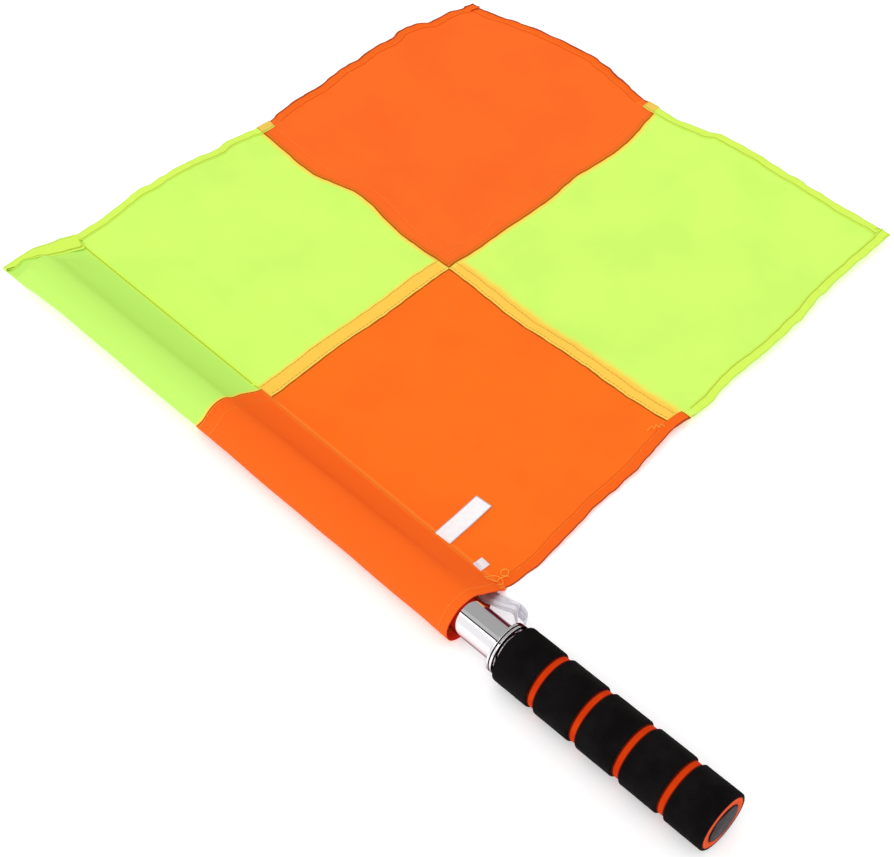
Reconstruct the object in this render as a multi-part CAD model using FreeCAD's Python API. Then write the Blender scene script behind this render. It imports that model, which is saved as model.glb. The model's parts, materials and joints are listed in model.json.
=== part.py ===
import FreeCAD, Part
import math
import os

Vector = FreeCAD.Vector
os.makedirs("parts", exist_ok=True)

# The flag lies on a table as it was put down. Its origin is the centre of the grip's butt end, on the
# pole's axis. +Y runs up the pole, +X across the flag to its free edge, the fly, and +Z up.

# Pole: a thin chromed tube with a plastic plug in each end
pole_radius = 10.0
pole_wall = 0.6
pole_short_of_flag = 25.0
plug_flange = 1.5
plug_shank = 12.0
plug_wall = 1.2
plug_fit = 0.05
plug_crown = 1.2

# Grip: an orange foam tube under five black foam bands
grip_radius = 16.0
band_thickness = 1.2
band_length = 22.2
band_count = 5
band_round = 1.0
groove_width = 4.5
foam_fit = 0.05

# Flag: four panels sewn two by two, the two at the hoist folded back round the pole as its sleeve
cloth = 0.5
bare_pole = 39.0
lower_row = 183.0
upper_row = 179.0
hoist_column = 178.0
fly_column = 204.0
sleeve_seam_low = 32.0
sleeve_seam_high = 36.5
sleeve_lap = 2.5
sleeve_flat = 14.0
sleeve_fit = 0.4
layer_gap = 0.2
seam_gap = 0.2
pinch_reach = 4.0
pinched_edge_out = 9.5

# How the cloth lies: its edges curl up off the table and bow out between the seams
edge_rest = 4.5
edge_arch = 4.5
edge_reach = 75.0
edge_bow = 6.0
soft_fold = 2.0
fold_spacing = 95.0

# How many curves make up the flat cloth's width, the sleeve's loop, a row's height and the pinched end
flat_pieces = 3
loop_pieces = 3
row_pieces = 8
pinch_pieces = 4

# Split ring: two turns of flat wire round the pole
ring_inner = 12.0
ring_wire_width = 2.0
ring_wire_height = 1.4
ring_pitch = 2.0
ring_turns = 2

# Tether: a flat ribbon sewn into the sleeve and looped through the ring
ribbon_width = 6.2
ribbon_thickness = 0.5
ribbon_clear = 0.3
ribbon_sewn = 14.0
ribbon_lift = 5.0

# Label: a bare woven tag in the sleeve's seam
label_length = 31.0
label_width = 11.0
label_thickness = 0.25
label_from_mouth = 38.0
label_pieces = 2

core_radius = grip_radius - band_thickness
grip_length = band_count * band_length + (band_count - 1) * groove_width
flag_low = grip_length + bare_pole
flag_mid = flag_low + lower_row
flag_high = flag_mid + upper_row
fly_x = hoist_column + fly_column
pole_length = flag_high - pole_short_of_flag
ring_start = grip_length + ribbon_thickness + 2 * ribbon_clear
ring_outer = ring_inner + ring_wire_width


def lie_angle():
    """The pole's lean: the grip's front edge is on the table, and the pole's top end in the sleeve."""
    run = pole_length - grip_length + band_round
    drop = grip_radius - band_round - pole_radius
    rest = band_round - cloth - sleeve_fit
    return math.asin(rest / math.hypot(run, drop)) + math.atan2(drop, run)


lean = lie_angle()
butt_height = ((grip_length - band_round) * math.sin(lean)
               + (grip_radius - band_round) * math.cos(lean) + band_round)


def axis_height(y):
    """Height of the pole's axis over the table."""
    return butt_height - y * math.tan(lean)


def export(name, shape):
    shape.exportStep("parts/" + name + ".step")
    print(name, len(shape.Solids), "solid", shape.isValid(), round(shape.Volume, 1))


def on_pole(shape):
    """Leans a piece that was built along +Y from the origin."""
    return shape.rotated(Vector(0, 0, 0), Vector(1, 0, 0), -math.degrees(lean))


def off_table(shape):
    """Moves a piece that was built on a table at height zero."""
    return shape.translated(Vector(0, 0, -butt_height))


def turned(points, arcs=()):
    """A solid of revolution about +Y from (radius, y) points; arcs maps a point's index to the middle
    of the arc that leaves it."""
    mids = dict(arcs)
    edges = []
    for i, (r, y) in enumerate(points):
        nr, ny = points[(i + 1) % len(points)]
        start, end = Vector(r, y, 0), Vector(nr, ny, 0)
        if i in mids:
            edges.append(Part.Arc(start, Vector(mids[i][0], mids[i][1], 0), end).toShape())
        else:
            edges.append(Part.LineSegment(start, end).toShape())
    face = Part.Face(Part.Wire(edges))
    return face.revolve(Vector(0, 0, 0), Vector(0, 1, 0), 360)


def sleeve_piece(inner, outer, start, length):
    return turned([(inner, start), (outer, start), (outer, start + length), (inner, start + length)])


def pole_tube():
    length = pole_length - plug_flange
    return sleeve_piece(pole_radius - pole_wall, pole_radius, plug_flange, length)


def butt_cap():
    shank = pole_radius - pole_wall - plug_fit
    end = plug_flange + plug_shank
    return turned([(0, 0), (pole_radius, 0), (pole_radius, plug_flange), (shank, plug_flange),
                   (shank, end), (shank - plug_wall, end), (shank - plug_wall, plug_flange),
                   (0, plug_flange)])


def pole_top_plug():
    shank = pole_radius - pole_wall - plug_fit
    start = pole_length - plug_shank
    crown = pole_length + plug_flange
    sphere = (pole_radius ** 2 + plug_crown ** 2) / (2 * plug_crown)
    swing = math.asin(pole_radius / sphere) / 2
    mid = (sphere * math.sin(swing), crown + plug_crown - sphere + sphere * math.cos(swing))
    points = [(pole_radius, pole_length), (pole_radius, crown), (0, crown + plug_crown),
              (0, pole_length), (shank - plug_wall, pole_length), (shank - plug_wall, start),
              (shank, start), (shank, pole_length)]
    return turned(points, [(1, mid)])


def grip_core():
    return sleeve_piece(pole_radius + foam_fit, core_radius, 0, grip_length)


def grip_band(index):
    """A band of black foam with both outer corners rounded off."""
    start = index * (band_length + groove_width)
    end = start + band_length
    inner = core_radius + foam_fit
    inset = band_round * (1 - math.cos(math.radians(45)))
    points = [(inner, start), (grip_radius - band_round, start), (grip_radius, start + band_round),
              (grip_radius, end - band_round), (grip_radius - band_round, end), (inner, end)]
    arcs = [(1, (grip_radius - inset, start + inset)), (3, (grip_radius - inset, end - inset))]
    return turned(points, arcs)


def split_ring():
    """Two turns of flat wire, as a helix along the pole."""
    middle = ring_inner + ring_wire_width / 2
    helix = Part.makeHelix(ring_pitch, ring_pitch * ring_turns, middle)
    half_width = ring_wire_width / 2
    half_height = ring_wire_height / 2
    corners = [Vector(middle - half_width, 0, -half_height), Vector(middle + half_width, 0, -half_height),
               Vector(middle + half_width, 0, half_height), Vector(middle - half_width, 0, half_height)]
    section = Part.makePolygon(corners + corners[:1])
    ring = Part.Wire(helix).makePipeShell([section], True, True)
    ring = ring.rotated(Vector(0, 0, 0), Vector(1, 0, 0), -90)
    print("gap between the ring's turns", ring_pitch - ring_wire_height)
    return ring.translated(Vector(0, ring_start + half_height, 0))


def ease(share):
    """0 to 1, level at both ends."""
    s = min(max(share, 0.0), 1.0)
    return s * s * (3 - 2 * s)


def hump(share):
    """0 at both ends of a stretch and 1 in its middle."""
    return math.sin(math.pi * min(max(share, 0.0), 1.0)) ** 2


def through(places, x):
    """Eased value at x of a list of (x, value) places."""
    for (x0, v0), (x1, v1) in zip(places, places[1:]):
        if x <= x1:
            return v0 + (v1 - v0) * ease((x - x0) / (x1 - x0))
    return places[-1][1]


def seam_x(y):
    share = (y - flag_low) / (flag_high - flag_low)
    return sleeve_seam_low + (sleeve_seam_high - sleeve_seam_low) * share


def row_humps(y):
    """How far y is into the middle of its row of panels."""
    if y < flag_mid:
        return hump((y - flag_low) / lower_row)
    return hump((y - flag_mid) / upper_row)


def lift(x, y):
    """Height of the cloth's underside over the table."""
    free = ease((x - seam_x(y) - sleeve_flat) / edge_reach)
    top = ease((y - flag_high + edge_reach) / edge_reach)
    low = ease((flag_low + edge_reach - y) / edge_reach) * ease((x - seam_x(y)) / (fly_x - seam_x(y)))
    side = ease((x - fly_x + edge_reach) / edge_reach)
    if x < hoist_column:
        column = hump((x - seam_x(y)) / (hoist_column - seam_x(y)))
    else:
        column = hump((x - hoist_column) / fly_column)
    rest = 1 - (1 - top) * (1 - low) * (1 - side)
    arch = max(top * column, side * row_humps(y))
    fold = hump(((x + y) % fold_spacing) / fold_spacing) * (1 - rest)
    return free * (edge_rest * rest + edge_arch * arch + soft_fold * fold)


# Where the edges and seams leave straight lines, as shares of the edge's bow
top_bow_shares = [(-0.06, 2.6), (0.05, 2.7), (0.1, 1.3), (0.15, 1.5), (0.22, 1.6), (0.28, 0.7), (0.38, 0.2),
                  (0.43, 0.5), (0.5, 0.1), (0.55, 0.6), (0.7, 0.5), (0.85, 1.4), (0.91, 0.1), (1.0, -0.8)]
low_bow_shares = [(-0.06, -1.1), (0.05, -1.1), (0.085, -0.5), (0.15, -0.8), (0.3, -0.1), (0.46, 0.5),
                  (0.6, 0.5), (0.75, 0.6), (0.84, 1.3), (1.0, 1.4)]
mid_bow_shares = [(-0.06, 0.6), (0.03, 0.4), (0.09, 0.0), (0.47, 0.0), (0.58, 0.0), (0.69, -0.4), (0.78, 0.3),
                  (0.89, -0.2), (1.0, 0.8)]
fly_bow_shares = [(0.0, 0.3), (0.04, 0.5), (0.15, 0.2), (0.23, 0.1), (0.34, 0.5), (0.42, -0.1),
                  (0.52, -0.3), (0.68, 1.0), (0.8, 0.6), (0.9, 0.0), (1.0, -0.8)]
column_bow_shares = [(0.0, -0.4), (0.3, -0.5), (0.5, 0.0), (0.6, 0.2), (0.74, 1.2), (0.86, 0.1), (1.0, 0.5)]


def bowed(point):
    """Moves a nominal point of the cloth to where its bowed edges and seams carry it."""
    x, y, z = point
    across = x / fly_x
    mid = through(mid_bow_shares, across)
    if y < flag_mid:
        share = (flag_mid - y) / lower_row
        outer = through(low_bow_shares, across)
    else:
        share = (y - flag_mid) / upper_row
        outer = through(top_bow_shares, across)
    up = (y - flag_low) / (flag_high - flag_low)
    column = through(column_bow_shares, up)
    if x < hoist_column:
        side = column * ease((x - seam_x(y) - sleeve_flat) / (hoist_column - seam_x(y) - sleeve_flat))
    else:
        free = (x - hoist_column) / fly_column
        side = column * (1 - free) + through(fly_bow_shares, up) * free
    return Vector(x + edge_bow * side, y + edge_bow * (mid * (1 - share) + outer * share), z)


def bend(start, middle, end):
    """An arc through three points, or a line where they are straight."""
    chord = end - start
    if (middle - start).cross(chord).Length < cloth * chord.Length / 1000:
        return Part.LineSegment(start, end).toShape()
    return Part.Arc(start, middle, end).toShape()


def chain(points, straight):
    """A wire through points: start, middle, end, middle, end. Pieces in straight are lines."""
    placed = [bowed(p) for p in points]
    edges = []
    for i in range(0, len(placed) - 1, 2):
        if i // 2 in straight:
            edges.append(Part.LineSegment(placed[i], placed[i + 2]).toShape())
        else:
            edges.append(bend(placed[i], placed[i + 1], placed[i + 2]))
    return Part.Wire(edges)


def sheet_solid(outer, inner):
    """A closed solid between two ruled surfaces, each through the same number of wires."""
    skins = [Part.makeLoft(outer, False, True), Part.makeLoft(inner, False, True)]
    faces = skins[0].Faces + skins[1].Faces
    for a, b in ((outer[0], inner[0]), (outer[-1], inner[-1])):
        for edge_a, edge_b in zip(a.Edges, b.Edges):
            faces.append(Part.makeRuledSurface(edge_a, edge_b))
    for end in (0, -1):
        for j in range(len(outer) - 1):
            corners = [w.Vertexes[end].Point for w in (outer[j], outer[j + 1], inner[j + 1], inner[j])]
            side_a = Part.LineSegment(corners[0], corners[1]).toShape()
            side_b = Part.LineSegment(corners[3], corners[2]).toShape()
            faces.append(Part.makeRuledSurface(side_a, side_b))
    shell = Part.makeShell(faces)
    shell.sewShape()
    solid = Part.Solid(shell)
    if solid.Volume < 0:
        solid.reverse()
    return solid


def spread(start, end, count):
    return [start + (end - start) * i / count for i in range(count + 1)]


def flat_points(xs, y, rise):
    """Points of the flat cloth at xs, with the middle of each piece, raised by rise."""
    points = []
    for x0, x1 in zip(xs, xs[1:]):
        for x in (x0, (x0 + x1) / 2):
            points.append((x, y, lift(x, y) + rise))
    points.append((xs[-1], y, lift(xs[-1], y) + rise))
    return points


def sleeve_points(y, inside):
    """One section of a hoist panel, from its middle seam along the table, round the pole and down on
    itself at the sleeve's seam. inside gives the face towards the pole."""
    wall = cloth if inside else 0
    shut = ease((y - pole_length - pinch_reach) / (pole_short_of_flag - pinch_reach))
    open_radius = (axis_height(y) + pole_radius + sleeve_fit + cloth) / 2
    shut_radius = cloth + layer_gap / 2
    loop = open_radius + (shut_radius - open_radius) * shut
    centre_x = (shut_radius - pinched_edge_out) * shut
    radius = loop - wall
    stitch = seam_x(y)
    land = 2 * cloth + layer_gap
    reach = math.hypot(stitch - centre_x, land - loop)
    normal = math.atan2(land - loop, stitch - centre_x) + math.acos(loop / reach)
    flat_end = stitch + sleeve_flat
    points = flat_points(spread(hoist_column - seam_gap / 2, flat_end, flat_pieces), y, wall)
    points += [((flat_end + centre_x) / 2, y, wall), (centre_x, y, wall)]
    turn = math.pi * 3 / 2 - normal
    for i in range(1, 2 * loop_pieces + 1):
        angle = math.pi * 3 / 2 - turn * i / (2 * loop_pieces)
        points.append((centre_x + radius * math.cos(angle), y, loop + radius * math.sin(angle)))
    mitre = wall / (1 + math.sin(normal))
    corner = (stitch - mitre * math.cos(normal), y, land - mitre * (1 + math.sin(normal)))
    points += [((points[-1][0] + corner[0]) / 2, y, (points[-1][2] + corner[2]) / 2), corner]
    points += [(corner[0] + sleeve_lap / 2, y, corner[2]), (stitch + sleeve_lap, y, corner[2])]
    return points


def hoist_panel(stations):
    straight = {flat_pieces, flat_pieces + loop_pieces + 1, flat_pieces + loop_pieces + 2}
    outer = [chain(sleeve_points(y, False), straight) for y in stations]
    inner = [chain(sleeve_points(y, True), straight) for y in stations]
    return off_table(sheet_solid(outer, inner))


def fly_panel(stations):
    xs = spread(hoist_column + seam_gap / 2, fly_x, flat_pieces + 1)
    under = [chain(flat_points(xs, y, 0), set()) for y in stations]
    over = [chain(flat_points(xs, y, cloth), set()) for y in stations]
    return off_table(sheet_solid(under, over))


def lower_stations():
    return spread(flag_low, flag_mid - seam_gap / 2, row_pieces)


def upper_stations():
    """Stations of the upper row, closer together where the sleeve is pinched shut."""
    pinch_start = pole_length + pinch_reach
    open_part = spread(flag_mid + seam_gap / 2, pinch_start, row_pieces - 1)
    return open_part + spread(pinch_start, flag_high, pinch_pieces)[1:]


# The ribbon's way from the sleeve to the ring, its outer strand first: how far along the bare pole from
# the grip, how far out in pole radii, how high in axis heights, and the ribbon's turn in degrees
outer_run_shares = [(0.963, 2.35, 0.175, 0), (0.833, 2.1, 0.36, 0), (0.615, 2.13, 0.7, 40),
                    (0.44, 2.12, 0.83, 65), (0.315, 2.0, 0.93, 80), (0.22, 1.78, 1.0, 90)]
inner_run_shares = [(0.27, 1.4, 1.0, 90), (0.36, 1.7, 0.95, 76)]


def ribbon_section(centre, way, across):
    """A rectangle across the ribbon at centre, square to way, with its width along across."""
    half_width = across * (ribbon_width / 2)
    half_depth = way.cross(across).normalize() * (ribbon_thickness / 2)
    corners = [centre - half_width - half_depth, centre + half_width - half_depth,
               centre + half_width + half_depth, centre - half_width + half_depth]
    return Part.makePolygon(corners + corners[:1])


def tether_ribbon():
    """A flat ribbon from the sleeve, round the ring's wire and back, as a ruled strip."""
    height = axis_height(ring_start)
    half = ribbon_thickness / 2
    apart = ribbon_thickness + ribbon_clear
    sewn_x = sleeve_seam_low - ribbon_width
    sewn_z = cloth + ribbon_clear + half
    outside = ring_outer + ribbon_clear + half
    inside = pole_radius + ribbon_thickness + half
    below = grip_length + ribbon_clear + half
    ring_end = ring_start + ring_pitch * ring_turns + ring_wire_height

    def station(share, out, high, degrees):
        turn = math.radians(degrees)
        place = Vector(pole_radius * out, grip_length + bare_pole * share, height * high)
        return place, Vector(math.cos(turn), 0, math.sin(turn))

    level = Vector(1, 0, 0)
    upright = Vector(0, 0, 1)
    sewn_in = [(Vector(sewn_x, flag_low + ribbon_sewn, sewn_z), level),
               (Vector(sewn_x, flag_low + ribbon_lift, sewn_z), level)]
    outer_run = sewn_in + [station(*row) for row in outer_run_shares]
    inner_run = [(place + Vector(-across.z, 0, across.x) * apart, across)
                 for place, across in outer_run[:-2]]
    inner_run += [station(*row) for row in reversed(inner_run_shares)]
    wrap = [(outside, ring_end + apart / 2), (outside, below + ribbon_clear),
            (outside - ribbon_clear, below), (inside + ribbon_clear, below),
            (inside, below + ribbon_clear), (inside, ring_end + apart / 2)]
    wrap = [(Vector(r, y, height), upright) for r, y in wrap]
    route = outer_run + wrap + inner_run[::-1]
    sections = []
    for i, (place, across) in enumerate(route):
        before = route[max(i - 1, 0)][0]
        after = route[min(i + 1, len(route) - 1)][0]
        way = (after - before).normalize()
        way = (way - across * way.dot(across)).normalize()
        sections.append(ribbon_section(place, way, across))
    return off_table(Part.makeLoft(sections, True, True))


def blank_label():
    """A thin tag that lies on the lower hoist panel, with its end at the sleeve's seam."""
    low = flag_low + label_from_mouth
    start = seam_x(low + label_width / 2) + sleeve_lap + layer_gap
    xs = spread(start, start + label_length, label_pieces)
    rows = spread(low, low + label_width, 1)
    under = [chain(flat_points(xs, y, cloth + layer_gap), set()) for y in rows]
    over = [chain(flat_points(xs, y, cloth + layer_gap + label_thickness), set()) for y in rows]
    return off_table(sheet_solid(under, over))


export("pole_tube", on_pole(pole_tube()))
export("pole_top_plug", on_pole(pole_top_plug()))
export("butt_cap", on_pole(butt_cap()))
export("grip_core", on_pole(grip_core()))
for number in range(band_count):
    export("grip_band_" + str(number + 1), on_pole(grip_band(number)))
export("split_ring", on_pole(split_ring()))
export("tether_ribbon", tether_ribbon())
export("hoist_panel_lower", hoist_panel(lower_stations()))
export("hoist_panel_upper", hoist_panel(upper_stations()))
export("fly_panel_lower", fly_panel(lower_stations()))
export("fly_panel_upper", fly_panel(upper_stations()))
export("blank_label", blank_label())
print("lean in degrees", math.degrees(lean), "butt height", butt_height)
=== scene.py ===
import json
import math

import bpy
import numpy as np
from mathutils import Matrix, Vector

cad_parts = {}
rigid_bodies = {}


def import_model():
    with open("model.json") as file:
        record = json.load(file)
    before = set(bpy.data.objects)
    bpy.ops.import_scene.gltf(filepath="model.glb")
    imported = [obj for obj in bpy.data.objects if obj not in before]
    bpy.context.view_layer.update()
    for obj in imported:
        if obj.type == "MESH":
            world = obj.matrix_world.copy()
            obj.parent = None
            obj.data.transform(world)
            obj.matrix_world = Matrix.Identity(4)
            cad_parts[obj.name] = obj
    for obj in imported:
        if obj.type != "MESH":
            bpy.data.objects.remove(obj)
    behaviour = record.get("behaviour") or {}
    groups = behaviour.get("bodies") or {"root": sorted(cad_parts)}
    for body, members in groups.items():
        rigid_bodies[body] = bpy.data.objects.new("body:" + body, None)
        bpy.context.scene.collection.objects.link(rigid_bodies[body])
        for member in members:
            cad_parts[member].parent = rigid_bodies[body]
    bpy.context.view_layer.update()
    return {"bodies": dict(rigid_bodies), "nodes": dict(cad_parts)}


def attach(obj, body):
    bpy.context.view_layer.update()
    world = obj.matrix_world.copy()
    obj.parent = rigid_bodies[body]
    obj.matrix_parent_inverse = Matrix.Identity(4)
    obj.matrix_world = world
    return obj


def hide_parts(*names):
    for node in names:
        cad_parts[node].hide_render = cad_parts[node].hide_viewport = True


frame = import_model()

mm = 0.001

# The flag lies on a table. The origin is the centre of the grip's butt, +Y runs up the pole, +X across the
# flag to the fly and +Z up. The pole leans a little, down to its top.
pole = {"radius": 10 * mm, "bare": 39 * mm, "shortOfFlag": 25 * mm, "capFlange": 1.5 * mm,
        "capShank": 12 * mm, "wall": 0.65 * mm}
grip = {"radius": 16 * mm, "bandThickness": 1.2 * mm, "bandLength": 22.2 * mm, "bands": 5,
        "groove": 4.5 * mm, "round": 1.0 * mm, "fit": 0.05 * mm}
flag = {"lowerRow": 183 * mm, "upperRow": 179 * mm, "hoistColumn": 178 * mm, "flyColumn": 204 * mm,
        "seamLow": 32 * mm, "seamHigh": 36.5 * mm, "lap": 1.4 * mm, "flat": 14 * mm, "space": 0.5 * mm,
        "fit": 0.4 * mm, "pinchStart": -6 * mm, "pinchEnd": 12 * mm, "shut": 0.3 * mm, "tip": 9.2 * mm}
lie = {"rest": 4.5 * mm, "arch": 4.5 * mm, "reach": 75 * mm, "bow": 6 * mm, "fold": 2 * mm,
       "spacing": 95 * mm}

gripLength = grip["bands"] * grip["bandLength"] + (grip["bands"] - 1) * grip["groove"]
flagLow = gripLength + pole["bare"]
flagMid = flagLow + flag["lowerRow"]
flagHigh = flagMid + flag["upperRow"]
hoistX = flag["hoistColumn"]
flyX = hoistX + flag["flyColumn"]
poleLength = flagHigh - pole["shortOfFlag"]


def lieAngle():
    # the grip's front edge is on the table and the pole's top end in the sleeve
    run = poleLength - gripLength + grip["round"]
    drop = grip["radius"] - grip["round"] - pole["radius"]
    rest = grip["round"] - flag["space"] - flag["fit"]
    return math.asin(rest / math.hypot(run, drop)) + math.atan2(drop, run)


lean = lieAngle()
tableZ = -((gripLength - grip["round"]) * math.sin(lean)
           + (grip["radius"] - grip["round"]) * math.cos(lean) + grip["round"])
leanTurn = Matrix.Rotation(-lean, 4, "X")


# How the cloth lies

def ease(share):
    s = np.clip(share, 0, 1)
    return s * s * (3 - 2 * s)


def hump(share):
    return np.sin(np.pi * np.clip(share, 0, 1)) ** 2


def through(places, x):
    # eased value at x of a list of (x, value) places
    xs = np.array([p[0] for p in places])
    values = np.array([p[1] for p in places])
    i = np.clip(np.searchsorted(xs, x) - 1, 0, len(xs) - 2)
    return values[i] + (values[i + 1] - values[i]) * ease((x - xs[i]) / (xs[i + 1] - xs[i]))


def axisHeight(y):
    return -tableZ - y * math.tan(lean)


def seamX(y):
    return flag["seamLow"] + (flag["seamHigh"] - flag["seamLow"]) * (y - flagLow) / (flagHigh - flagLow)


def lift(x, y):
    # height of the cloth's underside over the table
    reach = lie["reach"]
    free = ease((x - seamX(y) - flag["flat"]) / reach)
    top = ease((y - flagHigh + reach) / reach)
    low = ease((flagLow + reach - y) / reach) * ease((x - seamX(y)) / (flyX - seamX(y)))
    side = ease((x - flyX + reach) / reach)
    column = np.where(x < hoistX, hump((x - seamX(y)) / (hoistX - seamX(y))),
                      hump((x - hoistX) / flag["flyColumn"]))
    row = np.where(y < flagMid, hump((y - flagLow) / flag["lowerRow"]), hump((y - flagMid) / flag["upperRow"]))
    rest = 1 - (1 - top) * (1 - low) * (1 - side)
    arch = np.maximum(top * column, side * row)
    fold = hump(((x + y) % lie["spacing"]) / lie["spacing"]) * (1 - rest)
    return free * (lie["rest"] * rest + lie["arch"] * arch + lie["fold"] * fold)


# where edges and seams leave straight lines: shares of the bow, by the share of the way along them
bows = {
    "top": [(-0.06, 2.6), (0.03, 2.85), (0.07, 2.15), (0.102, 1.5), (0.135, 1.5), (0.2, 1.6), (0.228, 1.57),
            (0.256, 1.0), (0.317, 0.58), (0.378, 0.27), (0.408, 0.72), (0.439, 0.5), (0.47, 0.05), (0.49, 0.05),
            (0.52, 0.5), (0.545, 0.68), (0.562, 0.72), (0.623, 0.42), (0.68, 0.72), (0.715, 0.52),
            (0.745, 0.75), (0.806, 0.7), (0.84, 1.42), (0.868, 1.2), (0.905, 0.28), (0.95, 0.27), (1.0, -0.8)],
    "low": [(-0.06, -1.1), (0.05, -1.1), (0.085, -0.53), (0.154, -0.82), (0.209, -0.52), (0.293, -0.12),
            (0.349, -0.12), (0.46, 0.53), (0.516, 0.17), (0.6, 0.62), (0.683, 0.37), (0.75, 0.64), (0.823, 1.22),
            (0.865, 1.39), (1.0, 1.44)],
    "mid": [(-0.06, 0.0), (0.03, 0.3), (0.09, 0.0), (0.47, 0.0), (0.58, 0.0), (0.69, -0.4), (0.78, 0.3),
            (0.89, -0.2), (1.0, 0.8)],
    "fly": [(0.0, 0.3), (0.04, 0.57), (0.099, 0.26), (0.235, 0.04), (0.277, 0.31), (0.37, 0.51), (0.396, -0.12),
            (0.455, -0.38), (0.545, -0.31), (0.6, 0.31), (0.66, 0.73), (0.693, 1.05), (0.752, 0.7), (0.812, 0.5),
            (0.89, 0.06), (0.95, -0.45), (1.0, -0.77)],
    "column": [(0.0, -0.4), (0.3, -0.5), (0.5, 0.0), (0.6, 0.2), (0.74, 1.2), (0.86, 0.1), (1.0, 0.5)],
}

# waves in the cloth: how much they are stretched across and along, their length, kind and height
waves = {
    "folds": [(1, 1, 105 * mm, 1, 1.6 * mm), (1, 1, 38 * mm, 3, 0.4 * mm)],
    "edges": [(1.1, 0.9, 10 * mm, 2, 1.0 * mm)],
    "seams": [(1, 1, 9 * mm, 4, 0.6 * mm)],
    "lap": [(0.6, 1, 12 * mm, 0, 0.4 * mm)],
    "drawnAcross": [(0.8, 1, 14 * mm, 2, 1.3 * mm), (1, 1, 7 * mm, 4, 0.65 * mm)],
    "drawnAlong": [(1, 0.8, 15 * mm, 3, 1.3 * mm)],
    "drawnShort": [(1, 1, 8 * mm, 1, 0.65 * mm)],
    "sleeve": [(1.6, 0.55, 34 * mm, 1, 0.9 * mm), (1, 1, 13 * mm, 4, 0.16 * mm)],
    "mouth": [(2.2, 0.3, 30 * mm, 2, 0.7 * mm)],
    "tip": [(3.2, 0.5, 20 * mm, 0, 1.8 * mm)],
}
# the ways in which a wave's parts run, and their phases
directions = [(0.9, 0.34, 1.7), (0.42, -0.95, 0.4), (-0.66, 0.6, 2.9), (0.2, 0.86, 4.1), (-0.97, -0.2, 5.3)]
# how far from edges and seams the thread draws the cloth in, and how much less beside the sleeve and the mouth
pucker = {"edge": 6.5 * mm, "seams": 9 * mm, "seamShare": 0.7, "hem": 4 * mm, "column": 4 * mm, "row": 5 * mm,
          "sleeve": 14 * mm, "sleeveShare": 0.35, "calm": 60 * mm, "calmShare": 0.2, "open": 40 * mm,
          "lap": 3 * mm, "lapReach": 8 * mm}


def ripple(x, y, length, kind):
    # soft irregular waves, 0 to 1, about a length apart
    total = 0
    for i, (dx, dy, phase) in enumerate(directions):
        rate = 2 * math.pi / length * (0.7 + 0.17 * ((i * 3 + kind) % 5))
        total = total + np.sin((x * dx + y * dy) * rate + phase * (kind + 1))
    return 0.5 + 0.5 * total / len(directions)


def waved(name, x, y, middle=0.0):
    # height of the named waves, over the given share of it
    return sum((ripple(x * across, y * along, length, kind) - middle) * height
               for across, along, length, kind, height in waves[name])


def near(distance, width):
    return np.exp(-(distance / width) ** 2)


def growing(least, share):
    return least + (1 - least) * ease(share)


def fromSewing(x, y):
    # how far a place is from the outer edges, and from the seams between the panels
    edge = np.minimum(np.minimum(flagHigh - y, flyX - x), y - flagLow)
    seams = np.minimum(np.abs(x - hoistX - pucker["column"]), np.abs(y - flagMid - pucker["row"]))
    return edge, seams


def puckered(x, y):
    # how far the thread draws the cloth aside in its own plane
    edge, seams = fromSewing(x, y)
    on = np.maximum(near(edge, pucker["edge"]), pucker["seamShare"] * near(seams, pucker["seams"]))
    free = (x - seamX(y)) / pucker["sleeve"]
    across = ease(free) * waved("drawnAcross", x, y, 0.5)
    short = waved("drawnShort", x, y, 0.5) * growing(pucker["calmShare"], (y - flagLow) / pucker["calm"])
    along = growing(pucker["sleeveShare"], free) * (waved("drawnAlong", x, y, 0.5) + short)
    return on * across, on * along


def bowed(x, y):
    across = x / flyX
    mid = through(bows["mid"], across)
    share = np.where(y < flagMid, (flagMid - y) / flag["lowerRow"], (y - flagMid) / flag["upperRow"])
    outer = np.where(y < flagMid, through(bows["low"], across), through(bows["top"], across))
    up = (y - flagLow) / (flagHigh - flagLow)
    column = through(bows["column"], up)
    bound = seamX(y) + flag["flat"]
    free = (x - hoistX) / flag["flyColumn"]
    side = np.where(x < hoistX, column * ease((x - bound) / (hoistX - bound)),
                    column * (1 - free) + through(bows["fly"], up) * free)
    drawn, along = puckered(x, y)
    return x + lie["bow"] * side + drawn, y + lie["bow"] * (mid * (1 - share) + outer * share) + along


def flatOf(x, y):
    # the unbowed place of a bowed one
    fx, fy = x, y
    for _ in range(8):
        bx, by = bowed(fx, fy)
        fx, fy = fx + x - bx, fy + y - by
    return fx, fy


# Sewing: how the cloth is lapped at its seams and turned at its edges
sewing = {"cloth": 0.12 * mm, "base": 0.08 * mm, "lapped": 0.37 * mm, "overlap": 10 * mm, "settle": 9 * mm,
          "blend": 3 * mm, "corner": 0.3 * mm, "cornerStack": 0.62 * mm, "step": 1.6 * mm, "land": 0.5 * mm,
          "inset": 0.5 * mm}
hem = {"radius": 0.08 * mm, "width": 6.5 * mm, "turnIn": 2 * mm, "up": 1, "stations": (6, 6, 4, 2)}
foldOver = {"radius": 0.07 * mm, "width": 3 * mm, "turnIn": 0, "up": 1, "stations": (5, 3, 0, 0)}
foldUnder = dict(foldOver, up=-1)
# the ridge where the sleeve's lap runs over the row seam and the lower hem
ridge = {"height": 0.9 * mm, "ahead": 8 * mm, "rise": 3 * mm, "past": 0.5 * mm, "fall": 2 * mm}
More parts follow.
